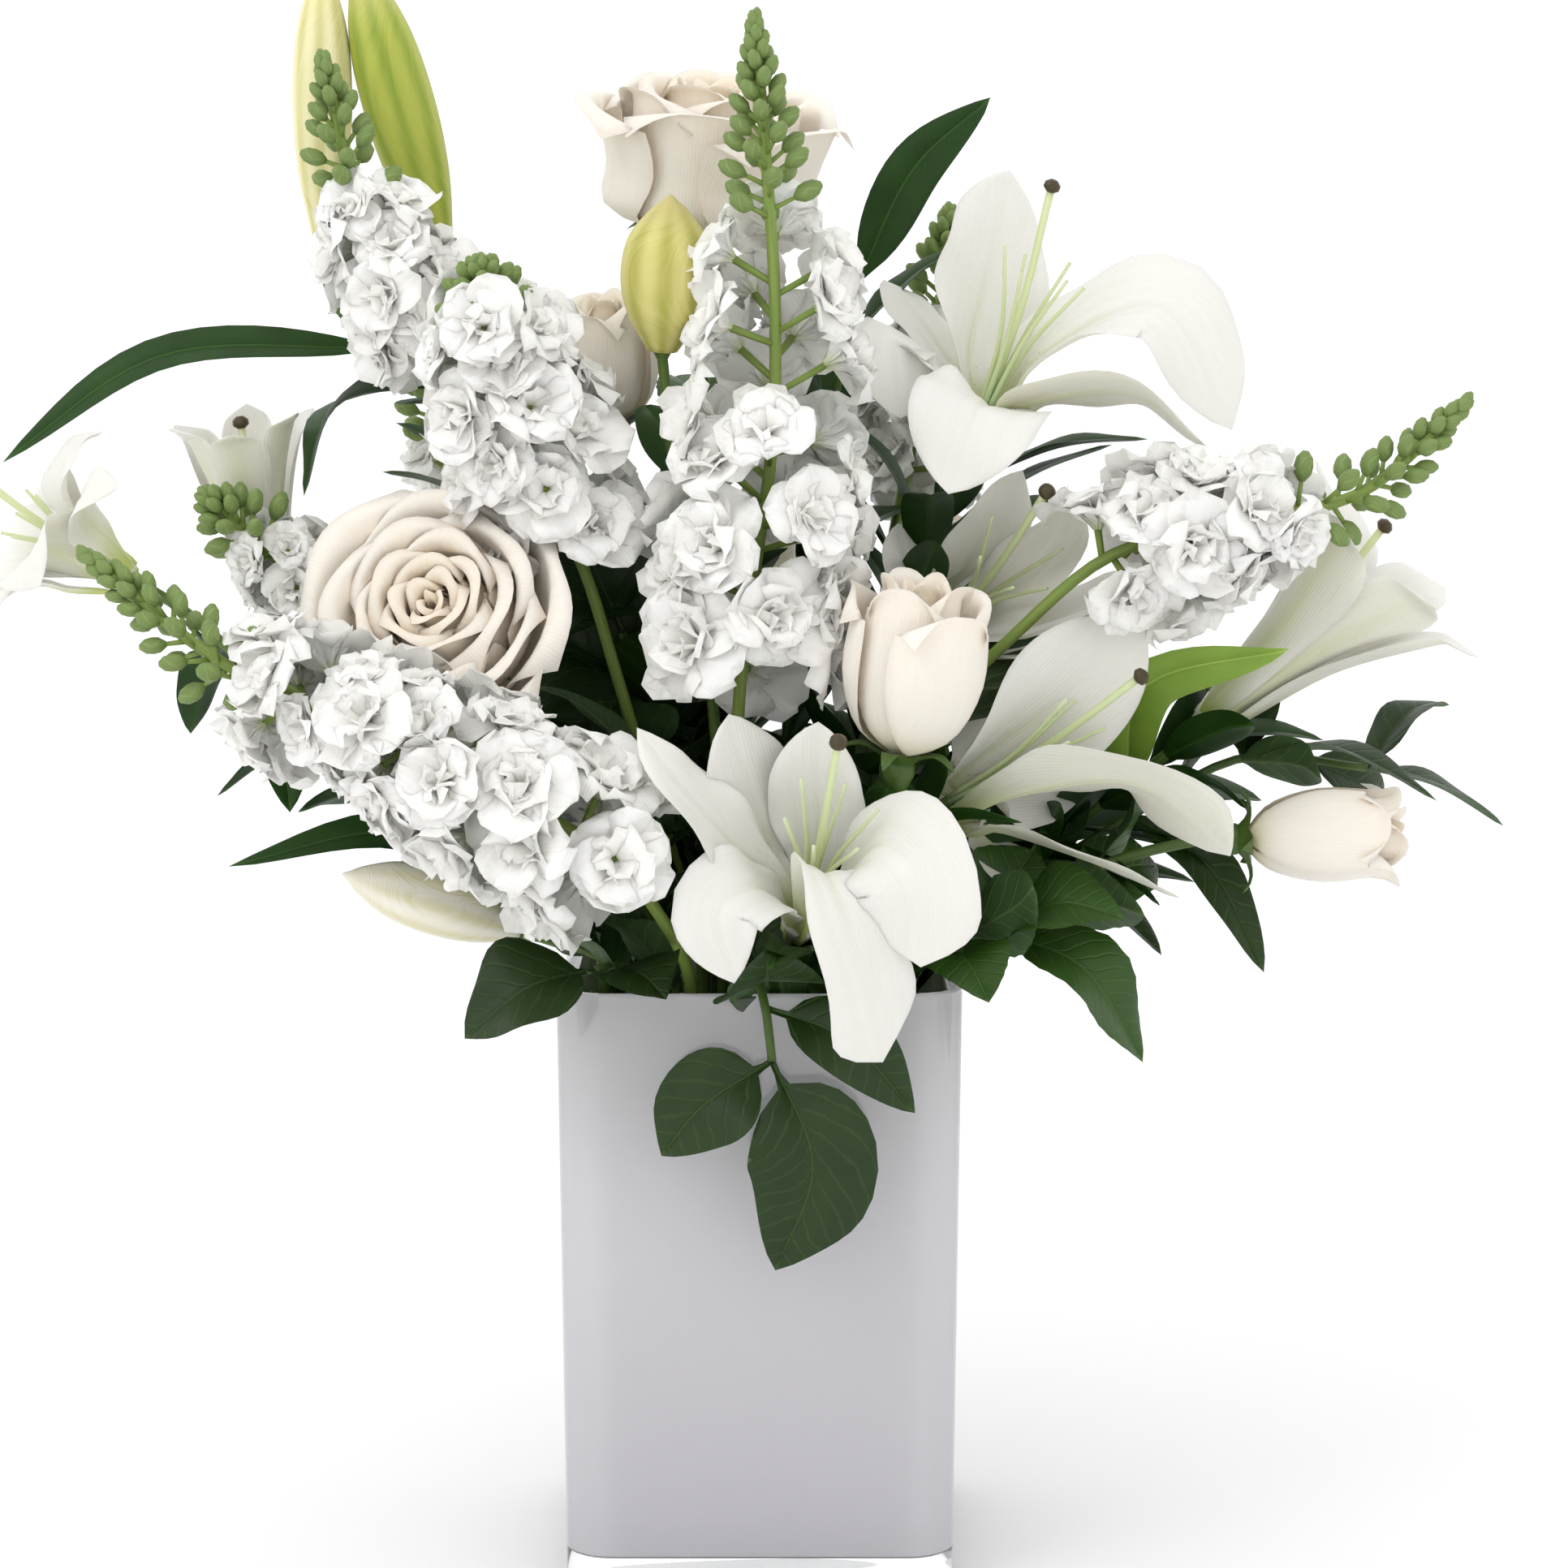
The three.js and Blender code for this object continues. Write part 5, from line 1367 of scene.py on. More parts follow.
# %% The rim of a solid floret
CORE = [0.8, 1, 0.85, 0.6]  # the core's radius from the head's foot to its tip, as shares
FLORET_LEAN, FLORET_TWIST = 74, 50  # degrees from the stem, and round the floret for each next one
FLORET_TAPER, FLORET_LIFT = 0.3, 2  # how much the last one is smaller, and mm off the core
FLORET_TURNS, FLORET_RIM = 3, [(0.1, 0.98, 60), (0.5, 1.04, 74), (0.8, 0.74, 22)]
FLORET_WAYS = [1, 0.85, 0.7, 0.55, 0.4]


def solid_rim(stock, curve, i):
    """Gives the function that works out a floret's corners from the size it shrank to."""
    share = (i + 0.5) / stock["florets"]
    at = stock["to"] * share
    seat = frame_at(curve.at(at), curve.along(at))
    out = lean(seat[3], spoke(seat, GOLDEN * i), FLORET_LEAN)
    core = [stock["core"] * part for part in CORE]
    reach = np.interp(share * (len(core) - 1), range(len(core)), core) + FLORET_LIFT
    root = seat[0] + out * reach
    floret = frame_at(root, out)

    def rim(way):
        size = stock["size"] * (1 - FLORET_TAPER * share) * way
        corners = []
        for step in range(FLORET_TURNS):
            for offset, part, tilt in FLORET_RIM:
                turn = spoke(floret, FLORET_TWIST * i + (step + offset) * 360 / FLORET_TURNS)
                corners.append(root + lean(out, turn, tilt) * (part * size))
        return corners

    return rim


print("sizes to try for each solid floret:", FLORET_WAYS)

# %% [markdown]
# ### One floret
# A double floret has five broad petals that spread, and two rings of four smaller ones that stand
# up in the middle. Each is a narrow claw that opens into a round, crumpled blade. A cloth
# simulation could crumple it, but two waves across the sweep are quicker.

# %% Floret petals
PETAL_PLACES = np.linspace(-1, 1, 7)
CLAW = 0.14  # the claw's share of a petal's width
PETAL_THICK = 0.45  # mm
RINGS = [  # petals, their least and greatest tilt, length and width in each ring of a floret
    (5, 62, 98, 1.0, 1.0), (4, 34, 66, 0.85, 0.9), (4, 6, 36, 0.62, 0.7),
]
RING_TURN = 36  # degrees from ring to ring


def floret_petal(skin, seat, turn, tilt, length, width, chance):
    """One crumpled petal that leans from the floret's axis."""
    at, _, _, axis = seat
    out = spoke(seat, turn)
    path = leaning(at + out * 0.8, axis, out, length, [tilt * 0.25, tilt * 0.7, tilt, tilt * 1.18])
    phase, ripples = chance.uniform(0, FULL_TURN), chance.uniform(1.2, 2.2)
    swing = 0.15 * width

    def width_at(u):
        """A narrow claw that opens into a broad blade with a round end."""
        share = CLAW + (1 - CLAW) * math.sin(0.5 * math.pi * min(1, u / 0.62)) ** 1.6
        return width * share * (1 - 0.94 * max(0, (u - 0.6) / 0.4) ** 2.6) ** 0.5

    def lift_at(u, v, half):
        edge = abs(v) ** 1.5 * math.sin(4.5 * ripples * u + phase + 2 * v)
        crumple = swing * u * (edge + 0.5 * math.sin(4 * v + phase))
        return crumple + 0.12 * half * abs(v)

    grid, lift, long, halves = swept(path, -out, width_at, lift_at, 9, PETAL_PLACES)
    lay_blade(skin, grid, lift, PETAL_THICK, long, halves, shade=chance.random())


def double_floret(skin, root, out, size, chance):
    seat = frame_at(root, out)
    start = chance.uniform(0, 360)
    for count, low, high, length, width in RINGS:
        start += RING_TURN
        for k in range(count):
            turn = start + 360 / count * k + chance.uniform(-16, 16)
            reach = size * length * chance.uniform(0.82, 1.12)
            floret_petal(skin, seat, turn, chance.uniform(low, high), reach, size * width, chance)


print("petals in a floret:", sum(ring[0] for ring in RINGS))

# %% [markdown]
# ### The heads
# Florets stand a golden angle apart up the stem, so they cover the head evenly without lying in
# rows. A particle system would scatter them by chance and leave gaps. The centre stock has lost
# some at its front, where its stem shows.

# %% Floret heads
PETAL = 23.0  # mm, the longest petal of a floret
CROWDING = 3.2  # true-size florets for each of the solid's
STRAY = 10  # degrees that a floret may be off its place
FULL_SIZE = 24  # mm: heads whose solid florets are smaller than this get smaller ones
TO_FRONT = -0.45  # a floret that looks more to the front than this is left out of a bare part


def floret_head(name, stock):
    chance = random.Random(name)
    curve = Curve(stock["line"])
    node = f"{name}_florets"
    skin = Skin(f"{name}_double_florets")
    shares = []
    for i in range(stock["florets"]):
        way = taken(node, FLORET_WAYS, solid_rim(stock, curve, i), near=2.0)
        shares.append(way or FLORET_WAYS[-1])
    core = [stock["core"] * part for part in CORE]
    count = round(stock["florets"] * CROWDING)
    for i in range(count):
        share = (i + 0.5) / count
        here = shares[min(int(share * stock["florets"]), stock["florets"] - 1)]
        at = stock["to"] * share
        seat = frame_at(curve.at(at), curve.along(at))
        tilt = 82 - 26 * share + chance.uniform(-STRAY, STRAY)
        out = lean(seat[3], spoke(seat, GOLDEN * i + chance.uniform(-STRAY, STRAY)), tilt)
        if share > stock.get("bare", 1) and out[1] < TO_FRONT:
            continue
        size = PETAL * (1 - 0.25 * share) * (0.5 + 0.5 * here) * min(1, stock["size"] / FULL_SIZE)
        size *= chance.uniform(0.88, 1.1)
        reach = along_list(core, share) * 0.95 + 0.12 * stock["size"] * here
        lay_tube(skin, [seat[0], seat[0] + out * (reach + 2)], [1.0, 1.3], 6, slot=1)
        double_floret(skin, seat[0] + out * reach, out, size, chance)
    return skin.finish([STOCK_PETAL, STOCK_STALK], node, slot="stock_petals"), shares


for name, stock in STOCKS.items():
    piece, shares = floret_head(name, stock)
    print(name, "florets shrank by", shares, "faces", len(piece.data.polygons))

# %% [markdown]
# ## Stems
# A stem stands on the vase's floor, passes its mouth and curves up to its bloom. All could be
# straight, but stock and lily stems bend to the light. The layout shifts the middle of a crowded
# stem aside, and the shift is read back from the solid's corners.

# %% Stem routes
FOOT_Z = VASE["floor"] + LINING + 3 * GAP
STRAIGHT_Z, MOUTH_Z = 160, 198  # mm up, where a stem stops being straight, and the vase's mouth
FOOT_SHARE = 0.76  # how far the foot is from the vase's axis, as a share of that at the mouth
SHIFTS = [0, 6, -6, 12, -12, 18, -18, 26, -26]
ROUTES = sorted(((x, y) for x in SHIFTS for y in SHIFTS), key=lambda way: math.hypot(*way))
UPPER = 5  # steps of a stem above its straight part
THINNER = 0.85  # the radius under the bloom, as a share of that at the foot


def stem_centres(mouth, end, way, stations):
    top = vec((*mouth, MOUTH_Z))
    foot = vec((mouth[0] * FOOT_SHARE, mouth[1] * FOOT_SHARE, FOOT_Z))
    straight = foot + (top - foot) * ((STRAIGHT_Z - FOOT_Z) / (MOUTH_Z - FOOT_Z))
    middle = (top + vec(end[0])) / 2 + vec((*way, 0))
    return [foot, *Curve([straight, top, middle, *end]).spaced(stations)]


def ring_corners(centres, radii):
    """The four corners that the solid stem has at each centre."""
    normal = vec(FIRST_NORMAL)
    corners = []
    for i, centre in enumerate(centres):
        along = unit(centres[min(i + 1, len(centres) - 1)] - centres[max(i - 1, 0)])
        normal = sideways(normal, along)
        across = np.cross(along, normal)
        corners += [centre + radii[i] * way for way in (normal, across, -normal, -across)]
    return corners[8:]


def grown(node, mouth, radius, end, tail=(), stations=UPPER):
    """The centres and radii that the solid stem of a node has."""
    end = [vec(p) for p in end]
    upper = np.linspace(radius, THINNER * radius, stations + 1)
    radii = [radius, *upper, *(thick for _, thick in tail)]

    def centres(way):
        return [*stem_centres(mouth, end, way, stations), *(vec(at) for at, _ in tail)]

    way = taken(node, ROUTES, lambda each: ring_corners(centres(each), radii), near=1.5)
    if way is None:
        print("no route read back for", node)
    return centres(way or (0, 0)), radii


print("routes to try for each stem:", len(ROUTES))

# %% [markdown]
# ### Stalks and their ends
# The solid stem has four sides. A modifier could round it, but it would shrink away from its
# bloom. The stalk is a smooth curve through the same centres, slim enough to stay within the
# solid's corners, and it runs out along its bloom's axis.

# %% Stalks
STALK_SIDES, STALK_STEP, STALK_SLIMMER = 10, 7, 0.86
LILY_NECK, ROSE_NECK, ROSE_HIP, BUD_NECK = 18, 26, 13, 16  # mm below the bloom
HIP_SWELL, HIP_TOP, BUD_FOOT = (5, 5.4), (GAP, 4), (GAP, 3.4)  # mm below the bloom, and the radius


def stalk(skin, centres, radii):
    curve = Curve(centres)
    steps = max(10, int(curve.length / STALK_STEP))
    marks = [0.0]
    for a, b in zip(centres, centres[1:]):
        marks.append(marks[-1] + np.linalg.norm(b - a))
    shares = np.linspace(0, 1, steps + 1)
    widths = np.interp(shares * marks[-1], marks, radii) * STALK_SLIMMER
    lay_tube(skin, [curve.at(u) for u in shares], widths, STALK_SIDES)


def lily_end(lily):
    base, axis = vec(lily["base"]), lily["axis"]
    tail = [(base + axis * LILY["nub"], LILY["stem"])]
    return {"end": [base - axis * LILY_NECK, base], "tail": tail}


def hip_end(rose):
    base, axis = vec(rose["base"]), rose["axis"]
    tail = [(base - axis * below, thick) for below, thick in (HIP_SWELL, HIP_TOP)]
    return {"end": [base - axis * ROSE_NECK, base - axis * ROSE_HIP], "tail": tail}


def bud_end(bud):
    base = vec(bud["base"])
    axis = unit(vec(bud["tip"]) - base)
    below, thick = BUD_FOOT
    end = [base - axis * BUD_NECK, base - axis * (below + 1.5)]
    return {"end": end, "tail": [(base - axis * below, thick)]}


print("a stalk turns in steps of", STALK_STEP, "mm")

# %% [markdown]
# ## Leaves
# Each kind of leaf is one outline: a broad heart-shaped salal leaf with a drawn-out tip, a
# toothed rose leaf, a long lily leaf, and a pointed ruscus leaf. They could be cut from flat
# planes, but a sweep gives each its own bend, a fold along the midrib and an edge that waves.

# %% Leaf blades
LEAVES = {  # full width in mm, how far down the blade it is widest, and how full the outline is
    "salal": {"width": 38, "peak": 0.74, "full": 0.85, "stalk": 0.12},
    "rose": {"width": 30, "peak": 0.8, "full": 0.85, "stalk": 0.1, "rows": 25, "teeth": 11},
    "lance": {"width": 17, "peak": 0.85, "full": 0.75, "stalk": 0.02},
    "ruscus": {"width": 20, "peak": 0.85, "full": 0.9, "stalk": 0.03},
}
LEAF_PLACES = np.array([-1, -0.85, -0.6, -0.35, -0.12, 0, 0.12, 0.35, 0.6, 0.85, 1])
LEAF_THICK, LEAF_STALK = 0.6, 2.0  # mm, the second the width of a leaf's own stalk
TOOTH = 0.07  # a tooth's depth as a share of the leaf's width


def leaf(skin, root, spec, way, chance, slots):
    size, dy, dz = way
    kind, shift = LEAVES[spec["kind"]], vec((0, dy, dz))
    tip, bow, wide = vec(spec["tip"]), vec(spec.get("bow", (0, 0, 8))), spec.get("wide", 1) * size
    middle = root + (tip - root) * 0.5 * size + bow * size + shift * 0.6
    end = root + (tip - root) * size + shift
    phase, ripples = chance.uniform(0, FULL_TURN), chance.uniform(1.2, 2.4)

    def width_at(u):
        """The outline, with its teeth, and no narrower than the leaf's own stalk."""
        share = max(0, (u - kind["stalk"]) / (1 - kind["stalk"]))
        full = math.sin(math.pi * share ** kind["peak"]) ** kind["full"] if share < 1 else 0
        tooth = 1 - TOOTH * ((kind.get("teeth", 0) * u) % 1)
        return max(LEAF_STALK * min(1, (1 - u) * 20), kind["width"] * wide * full * tooth)

    def lift_at(u, v, half):
        """A fold along the midrib, which is sunk, and a wave along the edge."""
        fold = 0.2 * half * abs(v) - 0.5 * math.exp(-((v * half / 1.2) ** 2))
        wave = 0.09 * half * v * v * math.sin(2 * math.pi * ripples * u + phase + (1.9 if v > 0 else 0))
        return fold + wave

    face = spec.get("face", (0, 0, 1))
    path, rows = [root, middle, end], kind.get("rows", 17)
    grid, lift, length, halves = swept(path, face, width_at, lift_at, rows, LEAF_PLACES)
    lay_blade(skin, grid, lift, LEAF_THICK, length, halves, shade=chance.random(), slots=slots)


print("leaf kinds:", ", ".join(LEAVES))

# %% [markdown]
# ### The leaves that the solids have
# The layout moves a crowded leaf's tip aside or makes the leaf smaller. The finer leaf could keep
# to its first place, but it would cut through a neighbour, so the way is read back too.

# %% Leaves in the solids' places
NUDGES = [0, 7, -7, 14, -14, 22, -22]
LEAF_NUDGES = sorted(((y, z) for y in NUDGES for z in NUDGES), key=lambda way: math.hypot(*way))
LEAF_WAYS = [(size, *nudge) for size in (1, 0.7) for nudge in LEAF_NUDGES]
# slot 4 holds the leaf finish with painted backlight, drawn brighter as if lit from behind
FRESH_BACKLIT_SLOTS = (4, 4)  # the fresh leaf's finish on both sides


def leaves_on(skin, node, centres, specs, chance, slots):
    for spec in specs:
        root = centres[spec["at"]]

        def tip_at(way):
            size, dy, dz = way
            return [root + (vec(spec["tip"]) - root) * size + vec((0, dy, dz))]

        way = taken(node, LEAF_WAYS, tip_at, near=1.0)
        if way is None:
            print("no leaf read back on", node, spec["tip"])
            continue
        # a leaf marked for painted backlight takes that finish on both sides
        leaf(skin, root, spec, way, chance, FRESH_BACKLIT_SLOTS if "fresh_backlit" in spec else slots)


print("places to try for each leaf:", len(LEAF_WAYS))

# %% [markdown]
# ### The leaves inside the bouquet
# Leaves all the way up the stems make the inside of a bouquet dark and deep. They could be
# scattered by chance, but some would cut through a bloom. Each tries a few directions and stands
# where its midline is clear of every solid and of the fuller heads. If none is, it is left out.

# %% Where there is room
LEAST_ROOM = 2.5  # mm between an inner leaf's midline and any solid
RIM_Z = VASE["height"] + 8
corners, sheets = [], []
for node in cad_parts.values():
    first = len(corners)
    corners += [vertex.co.copy() for vertex in node.data.vertices]
    sheets += [[i + first for i in sheet.vertices] for sheet in node.data.polygons]
SOLIDS = BVHTree.FromPolygons(corners, sheets)
HEADS = []
for stock in STOCKS.values():
    curve = Curve(stock["line"])
    line = np.array([curve.at(stock["to"] * u) for u in np.linspace(0, 1, 12)])
    HEADS.append((line, stock["core"] + stock["size"]))


def has_room(points):
    """Whether every point is above the rim, clear of the solids and outside the heads."""
    for p in points:
        if p[2] < RIM_Z or SOLIDS.find_nearest(Vector(p) * MM)[3] < LEAST_ROOM * MM:
            return False
        if any(np.linalg.norm(line - p, axis=1).min() < reach for line, reach in HEADS):
            return False
    return True


def inner_leaves(skin, centres, kind, part, count, reach, chance, slots, wide=0.9):
    """Leaves on a part of a stem, each where there is room, and how many there are."""
    curve, standing = Curve(centres), 0
    for i in range(count):
        u = part[0] + (part[1] - part[0]) * (i + 0.5) / count
        root, along = curve.at(u), curve.along(u)
        seat, bow = frame_at(root, along), along * 6
        for turn in (0, 45, -45, 90, -90, 180):
            way = lean(along, spoke(seat, GOLDEN * i + turn), chance.uniform(38, 60))
            tip = root + way * chance.uniform(*reach)
            middle = (root + tip) / 2 + bow
            if has_room([middle, (middle + tip) / 2, tip]):
                spec = {"kind": kind, "tip": tip, "bow": bow, "face": along, "wide": wide}
                leaf(skin, root, spec, (1, 0, 0), chance, slots)
                standing += 1
                break
    return standing


print("faces of the solids to keep clear of:", len(sheets))

# %% [markdown]
# ## Lily stems
# In the throat stand six pale filaments, whose anthers a florist takes off so that no pollen
# stains the petals, and a longer pistil that ends in a dark, sticky stigma. They could be straight
# pins, but real ones lean out. The solids have each at one of four leans.

# %% Filaments and pistil
FILAMENT_LEANS = [(8, 20), (5, 12), (2, 6), (0, 0)]
# the last finish is the lily leaf with painted backlight
LILY_SLOTS = [LILY_STALK, LILY_LEAF, LILY_THREAD, STIGMA, FRESH_BACKLIT_LEAF]
THREAD_RADII, PISTIL_RADII = [1.0, 0.85, 0.7, 0.55], [1.5, 1.3, 1.2, 1.3]
KNOB = ((-1.2, 1.3), (0, 2.7), (1.6, 2.6), (2.8, 1.2))  # mm along the pistil's end, and the radius


def thread(skin, points, radii):
    curve = Curve(points)
    shares = np.linspace(0, 1, 12)
    widths = np.interp(shares, np.linspace(0, 1, len(radii)), radii)
    lay_tube(skin, [curve.at(u) for u in shares], widths, 8, slot=2)


def lily_centre(skin, node, lily):
    seat = frame_at(lily["base"], lily["axis"])
    axis, size = seat[3], lily.get("centre", 1)
    start = seat[0] + axis * (LILY["nub"] - 1.5)
    for i in range(6):
        out = spoke(seat, 30 + 60 * i)
        length = size * (LILY["filament"] - 3 * (i % 2))

        def line(way):
            return leaning(start + out * 1.4, axis, out, length, way)

        way = taken(node, FILAMENT_LEANS, lambda way: line(way)[-1:], near=1.5)
        if way is not None:
            thread(skin, line(way), THREAD_RADII)

    def pistil(way):
        return leaning(start, axis, spoke(seat, 0), size * LILY["pistil"], [angle / 2 for angle in way])

    def knob_corner(way):
        return [pistil(way)[-1] + axis * 3 + spoke(seat, 90)]

    way = taken(node, FILAMENT_LEANS, knob_corner, near=3.0)
    line = pistil(way or FILAMENT_LEANS[-1])
    thread(skin, line, PISTIL_RADII)
    lay_tube(skin, [line[-1] + axis * far for far, _ in KNOB], [radius for _, radius in KNOB], 12, slot=3)


print("leans to try for each filament:", FILAMENT_LEANS)

# %% [markdown]
# ### Stalks and leaves
# Two long leaves of each lily are in the solids, and more stand inside the bouquet. Leaves could
# go up to the bloom, but a florist strips those that would hide it.

# %% Lily stems
LEAF_ROOTS = (-3, -4)  # the stem's centres, counted from its end, that its two leaves grow from
FIRST_TURN, TURN_ON = 20, 125  # degrees to the first leaf, and on from lily to lily
LANCE_LENGTH, LANCE_RISE = 58, 0.45


def lance_leaves(centres, first, roots):
    specs = []
    for i, at in enumerate(roots):
        turn = math.radians(first + GOLDEN * i)
        out = vec((math.cos(turn), math.sin(turn), LANCE_RISE))
        specs.append({"at": at, "tip": centres[at] + out * LANCE_LENGTH, "kind": "lance"})
    return specs


for i, (name, lily) in enumerate(LILIES.items()):
    node = f"{name}_stem"
    chance = random.Random(node)
    skin = Skin(f"{name}_stalk_and_leaves")
    centres, radii = grown(node, lily["mouth"], LILY["stem"], **lily_end(lily))
    stalk(skin, centres, radii)
    lily_centre(skin, node, lily)
    roots = lily.get("leaf_roots", LEAF_ROOTS)
    own = [*lance_leaves(centres, FIRST_TURN + TURN_ON * i, roots), *lily.get("leaves", [])]
    leaves_on(skin, node, centres, own, chance, (1, 1))
    more = inner_leaves(skin, centres, "lance", (0.5, 0.93), 26, (40, 70), chance, (1, 1))
    print(name, "inner leaves:", more)
    skin.finish(LILY_SLOTS, node, slot="stem_green")
print("lily stems:", len(LILIES))

# %% [markdown]
# ## Forked stems
# Two lilies on the left share a stem, and so do the two tall buds. Each could have a stem of its
# own, but a lily stem carries several heads on short side branches. The second head grows on a
# branch from one of the first stem's own points.

# %% Forks
FORK_AT = 5  # the centre of the main stem that the branch leaves from
FORK_DIP, BRANCH_STEPS, BRANCH_SHARE = 4, 4, 0.8  # mm the branch sags, its steps and its radius
PAIR_LEAVES = [
    {"at": -4, "tip": [-190, 44, 262], "kind": "lance"},
    {"at": -5, "tip": [-150, -14, 244], "kind": "lance", "wide": 1.2},
]
BUD_TOP_LEAVES = [
    {
        "at": -4, "tip": [-244, 12, 354], "bow": [-10, 0, 16], "kind": "lance", "wide": 0.9,
        "face": [0.3, -0.8, 0.8],
    },
    {
        "at": -5, "tip": [-146, 0, 344], "bow": [-10, -6, 12], "kind": "lance", "wide": 1.5,
        "face": [-1, -0.6, 0.3],
    },
]


def fork(node, mouth, first, second, leaves, blooms=()):
    chance = random.Random(node)
    skin = Skin(f"{node}_and_leaves")
    centres, radii = grown(node, mouth, LILY["stem"], **first)
    stalk(skin, centres, radii)
    start = centres[FORK_AT]
    middle = (start + second["end"][0]) / 2 - vec((0, 0, FORK_DIP))
    branch = Curve([start, middle, *second["end"]]).spaced(BRANCH_STEPS)
    slim = [BRANCH_SHARE * LILY["stem"]] * len(branch)
    branch += [vec(at) for at, _ in second["tail"]]
    stalk(skin, branch, slim + [thick for _, thick in second["tail"]])
    for lily in blooms:
        lily_centre(skin, node, lily)
    leaves_on(skin, node, branch, leaves, chance, (1, 1))
    inner_leaves(skin, centres, "lance", (0.5, 0.85), 12, (40, 62), chance, (1, 1))
    skin.finish(LILY_SLOTS, node, slot="stem_green")


left, far_left = LILY_PAIR["lily_left"], LILY_PAIR["lily_far_left"]
fork("lily_pair_stem", [-48, 6], lily_end(left), lily_end(far_left), PAIR_LEAVES, LILY_PAIR.values())
green, cream = BUDS["bud_top_green"], BUDS["bud_top_cream"]
fork("bud_top_stem", [-32, 34], bud_end(green), bud_end(cream), BUD_TOP_LEAVES)
print("forked stems: 2")

# %% [markdown]
# ## Rose stems
# Under each rose the stem swells into a hip, and five narrow sepals that once wrapped the bud bend
# back from it. They could be left out, as most hide under the bloom, but from the side they make
# a rose look grown and not glued on.

# %% Rose stems
SLENDER = 2.4  # mm, the radius of a rose's or a stock's stem at its foot
HIP = ((12, 2.4), (8, 4.0), (5, 5.2), (2, 5.0), (0.4, 4.2))  # mm below the bloom, and the radius
SEPALS, SEPAL_FIRST, SEPAL_LEANS, SEPAL_WIDTH = 5, 20, [50, 80, 120], 10.5


def sepal(skin, base, axis, out, length):
    path = leaning(base - axis * 2.5 + out * 3, axis, out, length, SEPAL_LEANS)

    def width_at(u):
        return SEPAL_WIDTH * (1 - u) ** 0.7 * min(1, 0.5 + 3 * u)

    def lift_at(u, v, half):
        return 0.25 * half * abs(v)

    grid, lift, long, halves = swept(path, axis, width_at, lift_at, 9, np.linspace(-1, 1, 5))
    lay_blade(skin, grid, lift, 0.8, long, halves)


for name, rose in ROSES.items():
    node = f"{name}_stem"
    chance = random.Random(node)
    skin = Skin(f"{name}_stalk_and_sepals")
    centres, radii = grown(node, rose["mouth"], SLENDER, **hip_end(rose))
    stalk(skin, centres, radii)
    seat = frame_at(rose["base"], rose["axis"])
    base, axis = seat[0], seat[3]
    lay_tube(skin, [base - axis * below for below, _ in HIP], [radius for _, radius in HIP], 14)
    for i in range(SEPALS):
        out = spoke(seat, SEPAL_FIRST + 360 / SEPALS * i)
        sepal(skin, base, axis, out, 0.4 * rose["radius"] + 9)
    inner_leaves(skin, centres, "rose", (0.5, 0.86), 9, (34, 48), chance, (1, 2), wide=0.85)
    skin.finish([ROSE_STALK, ROSE_LEAF, SALAL_UNDER], node, slot="stem_green")
print("rose stems:", len(ROSES))

# %% [markdown]
# ## Stock stems
# Above the florets the spike ends in green buds on short stalks, smaller and closer together
# towards the tip. It could be one bumpy cone, but in the photo each bud stands clear against the
# white, so each is a small tube that swells and closes.

# %% Stock stems and buds
BUD_PARTS = ((0, 0.35), (0.25, 0.9), (0.5, 1.0), (0.78, 0.85), (1.0, 0.3))  # along, and radius
BUDS_FOR_ONE = 5  # finer buds for each of the solid's
LEAST_TILT, MORE_TILT = 8, 62  # degrees from the stem at the tip, and how much more lower down


def green_bud(skin, root, out, length, radius):
    places = [root + out * (length * along) for along, _ in BUD_PARTS]
    lay_tube(skin, places, [radius * part for _, part in BUD_PARTS], 8, slot=1)


for name, stock in STOCKS.items():
    node = f"{name}_stem"
    chance = random.Random(node)
    skin = Skin(f"{name}_stalk_and_buds")
    centres, radii = grown(node, stock["mouth"], SLENDER, stock["line"], stations=UPPER + 3)
    stalk(skin, centres, radii)
    curve = Curve(stock["line"])
    count = BUDS_FOR_ONE * stock["buds"]
    for i in range(count):
        share = (i + 0.5) / count
        u = min(stock["to"] + 0.03 + (0.97 - stock["to"]) * share**0.75, 1)
        seat = frame_at(curve.at(u), curve.along(u))
        out = lean(seat[3], spoke(seat, GOLDEN * i), MORE_TILT * (1 - share) + LEAST_TILT)
        foot = 7.0 * (1 - share) + 2.0
        lay_tube(skin, [seat[0], seat[0] + out * (foot + 1)], [0.9, 0.7], 6)
        green_bud(skin, seat[0] + out * foot, out, 9.5 - 4 * share, 3.1 - 1.3 * share)
    inner_leaves(skin, centres, "lance", (0.45, 0.72), 8, (36, 56), chance, (2, 2), wide=0.8)
    skin.finish([STOCK_STALK, STOCK_BUD, STOCK_LEAF], node, slot="stock_stem")
print("stock stems:", len(STOCKS))

# %% [markdown]
# ## Sprays of leaves
# Salal hangs over the rim and fills the middle, toothed rose leaves and ruscus stand out at the
# right, and one broad leaf stands up at the top. They could be drawn once and turned about, but
# these are the leaves that the eye meets first, so each is laid out by where its tip reaches.

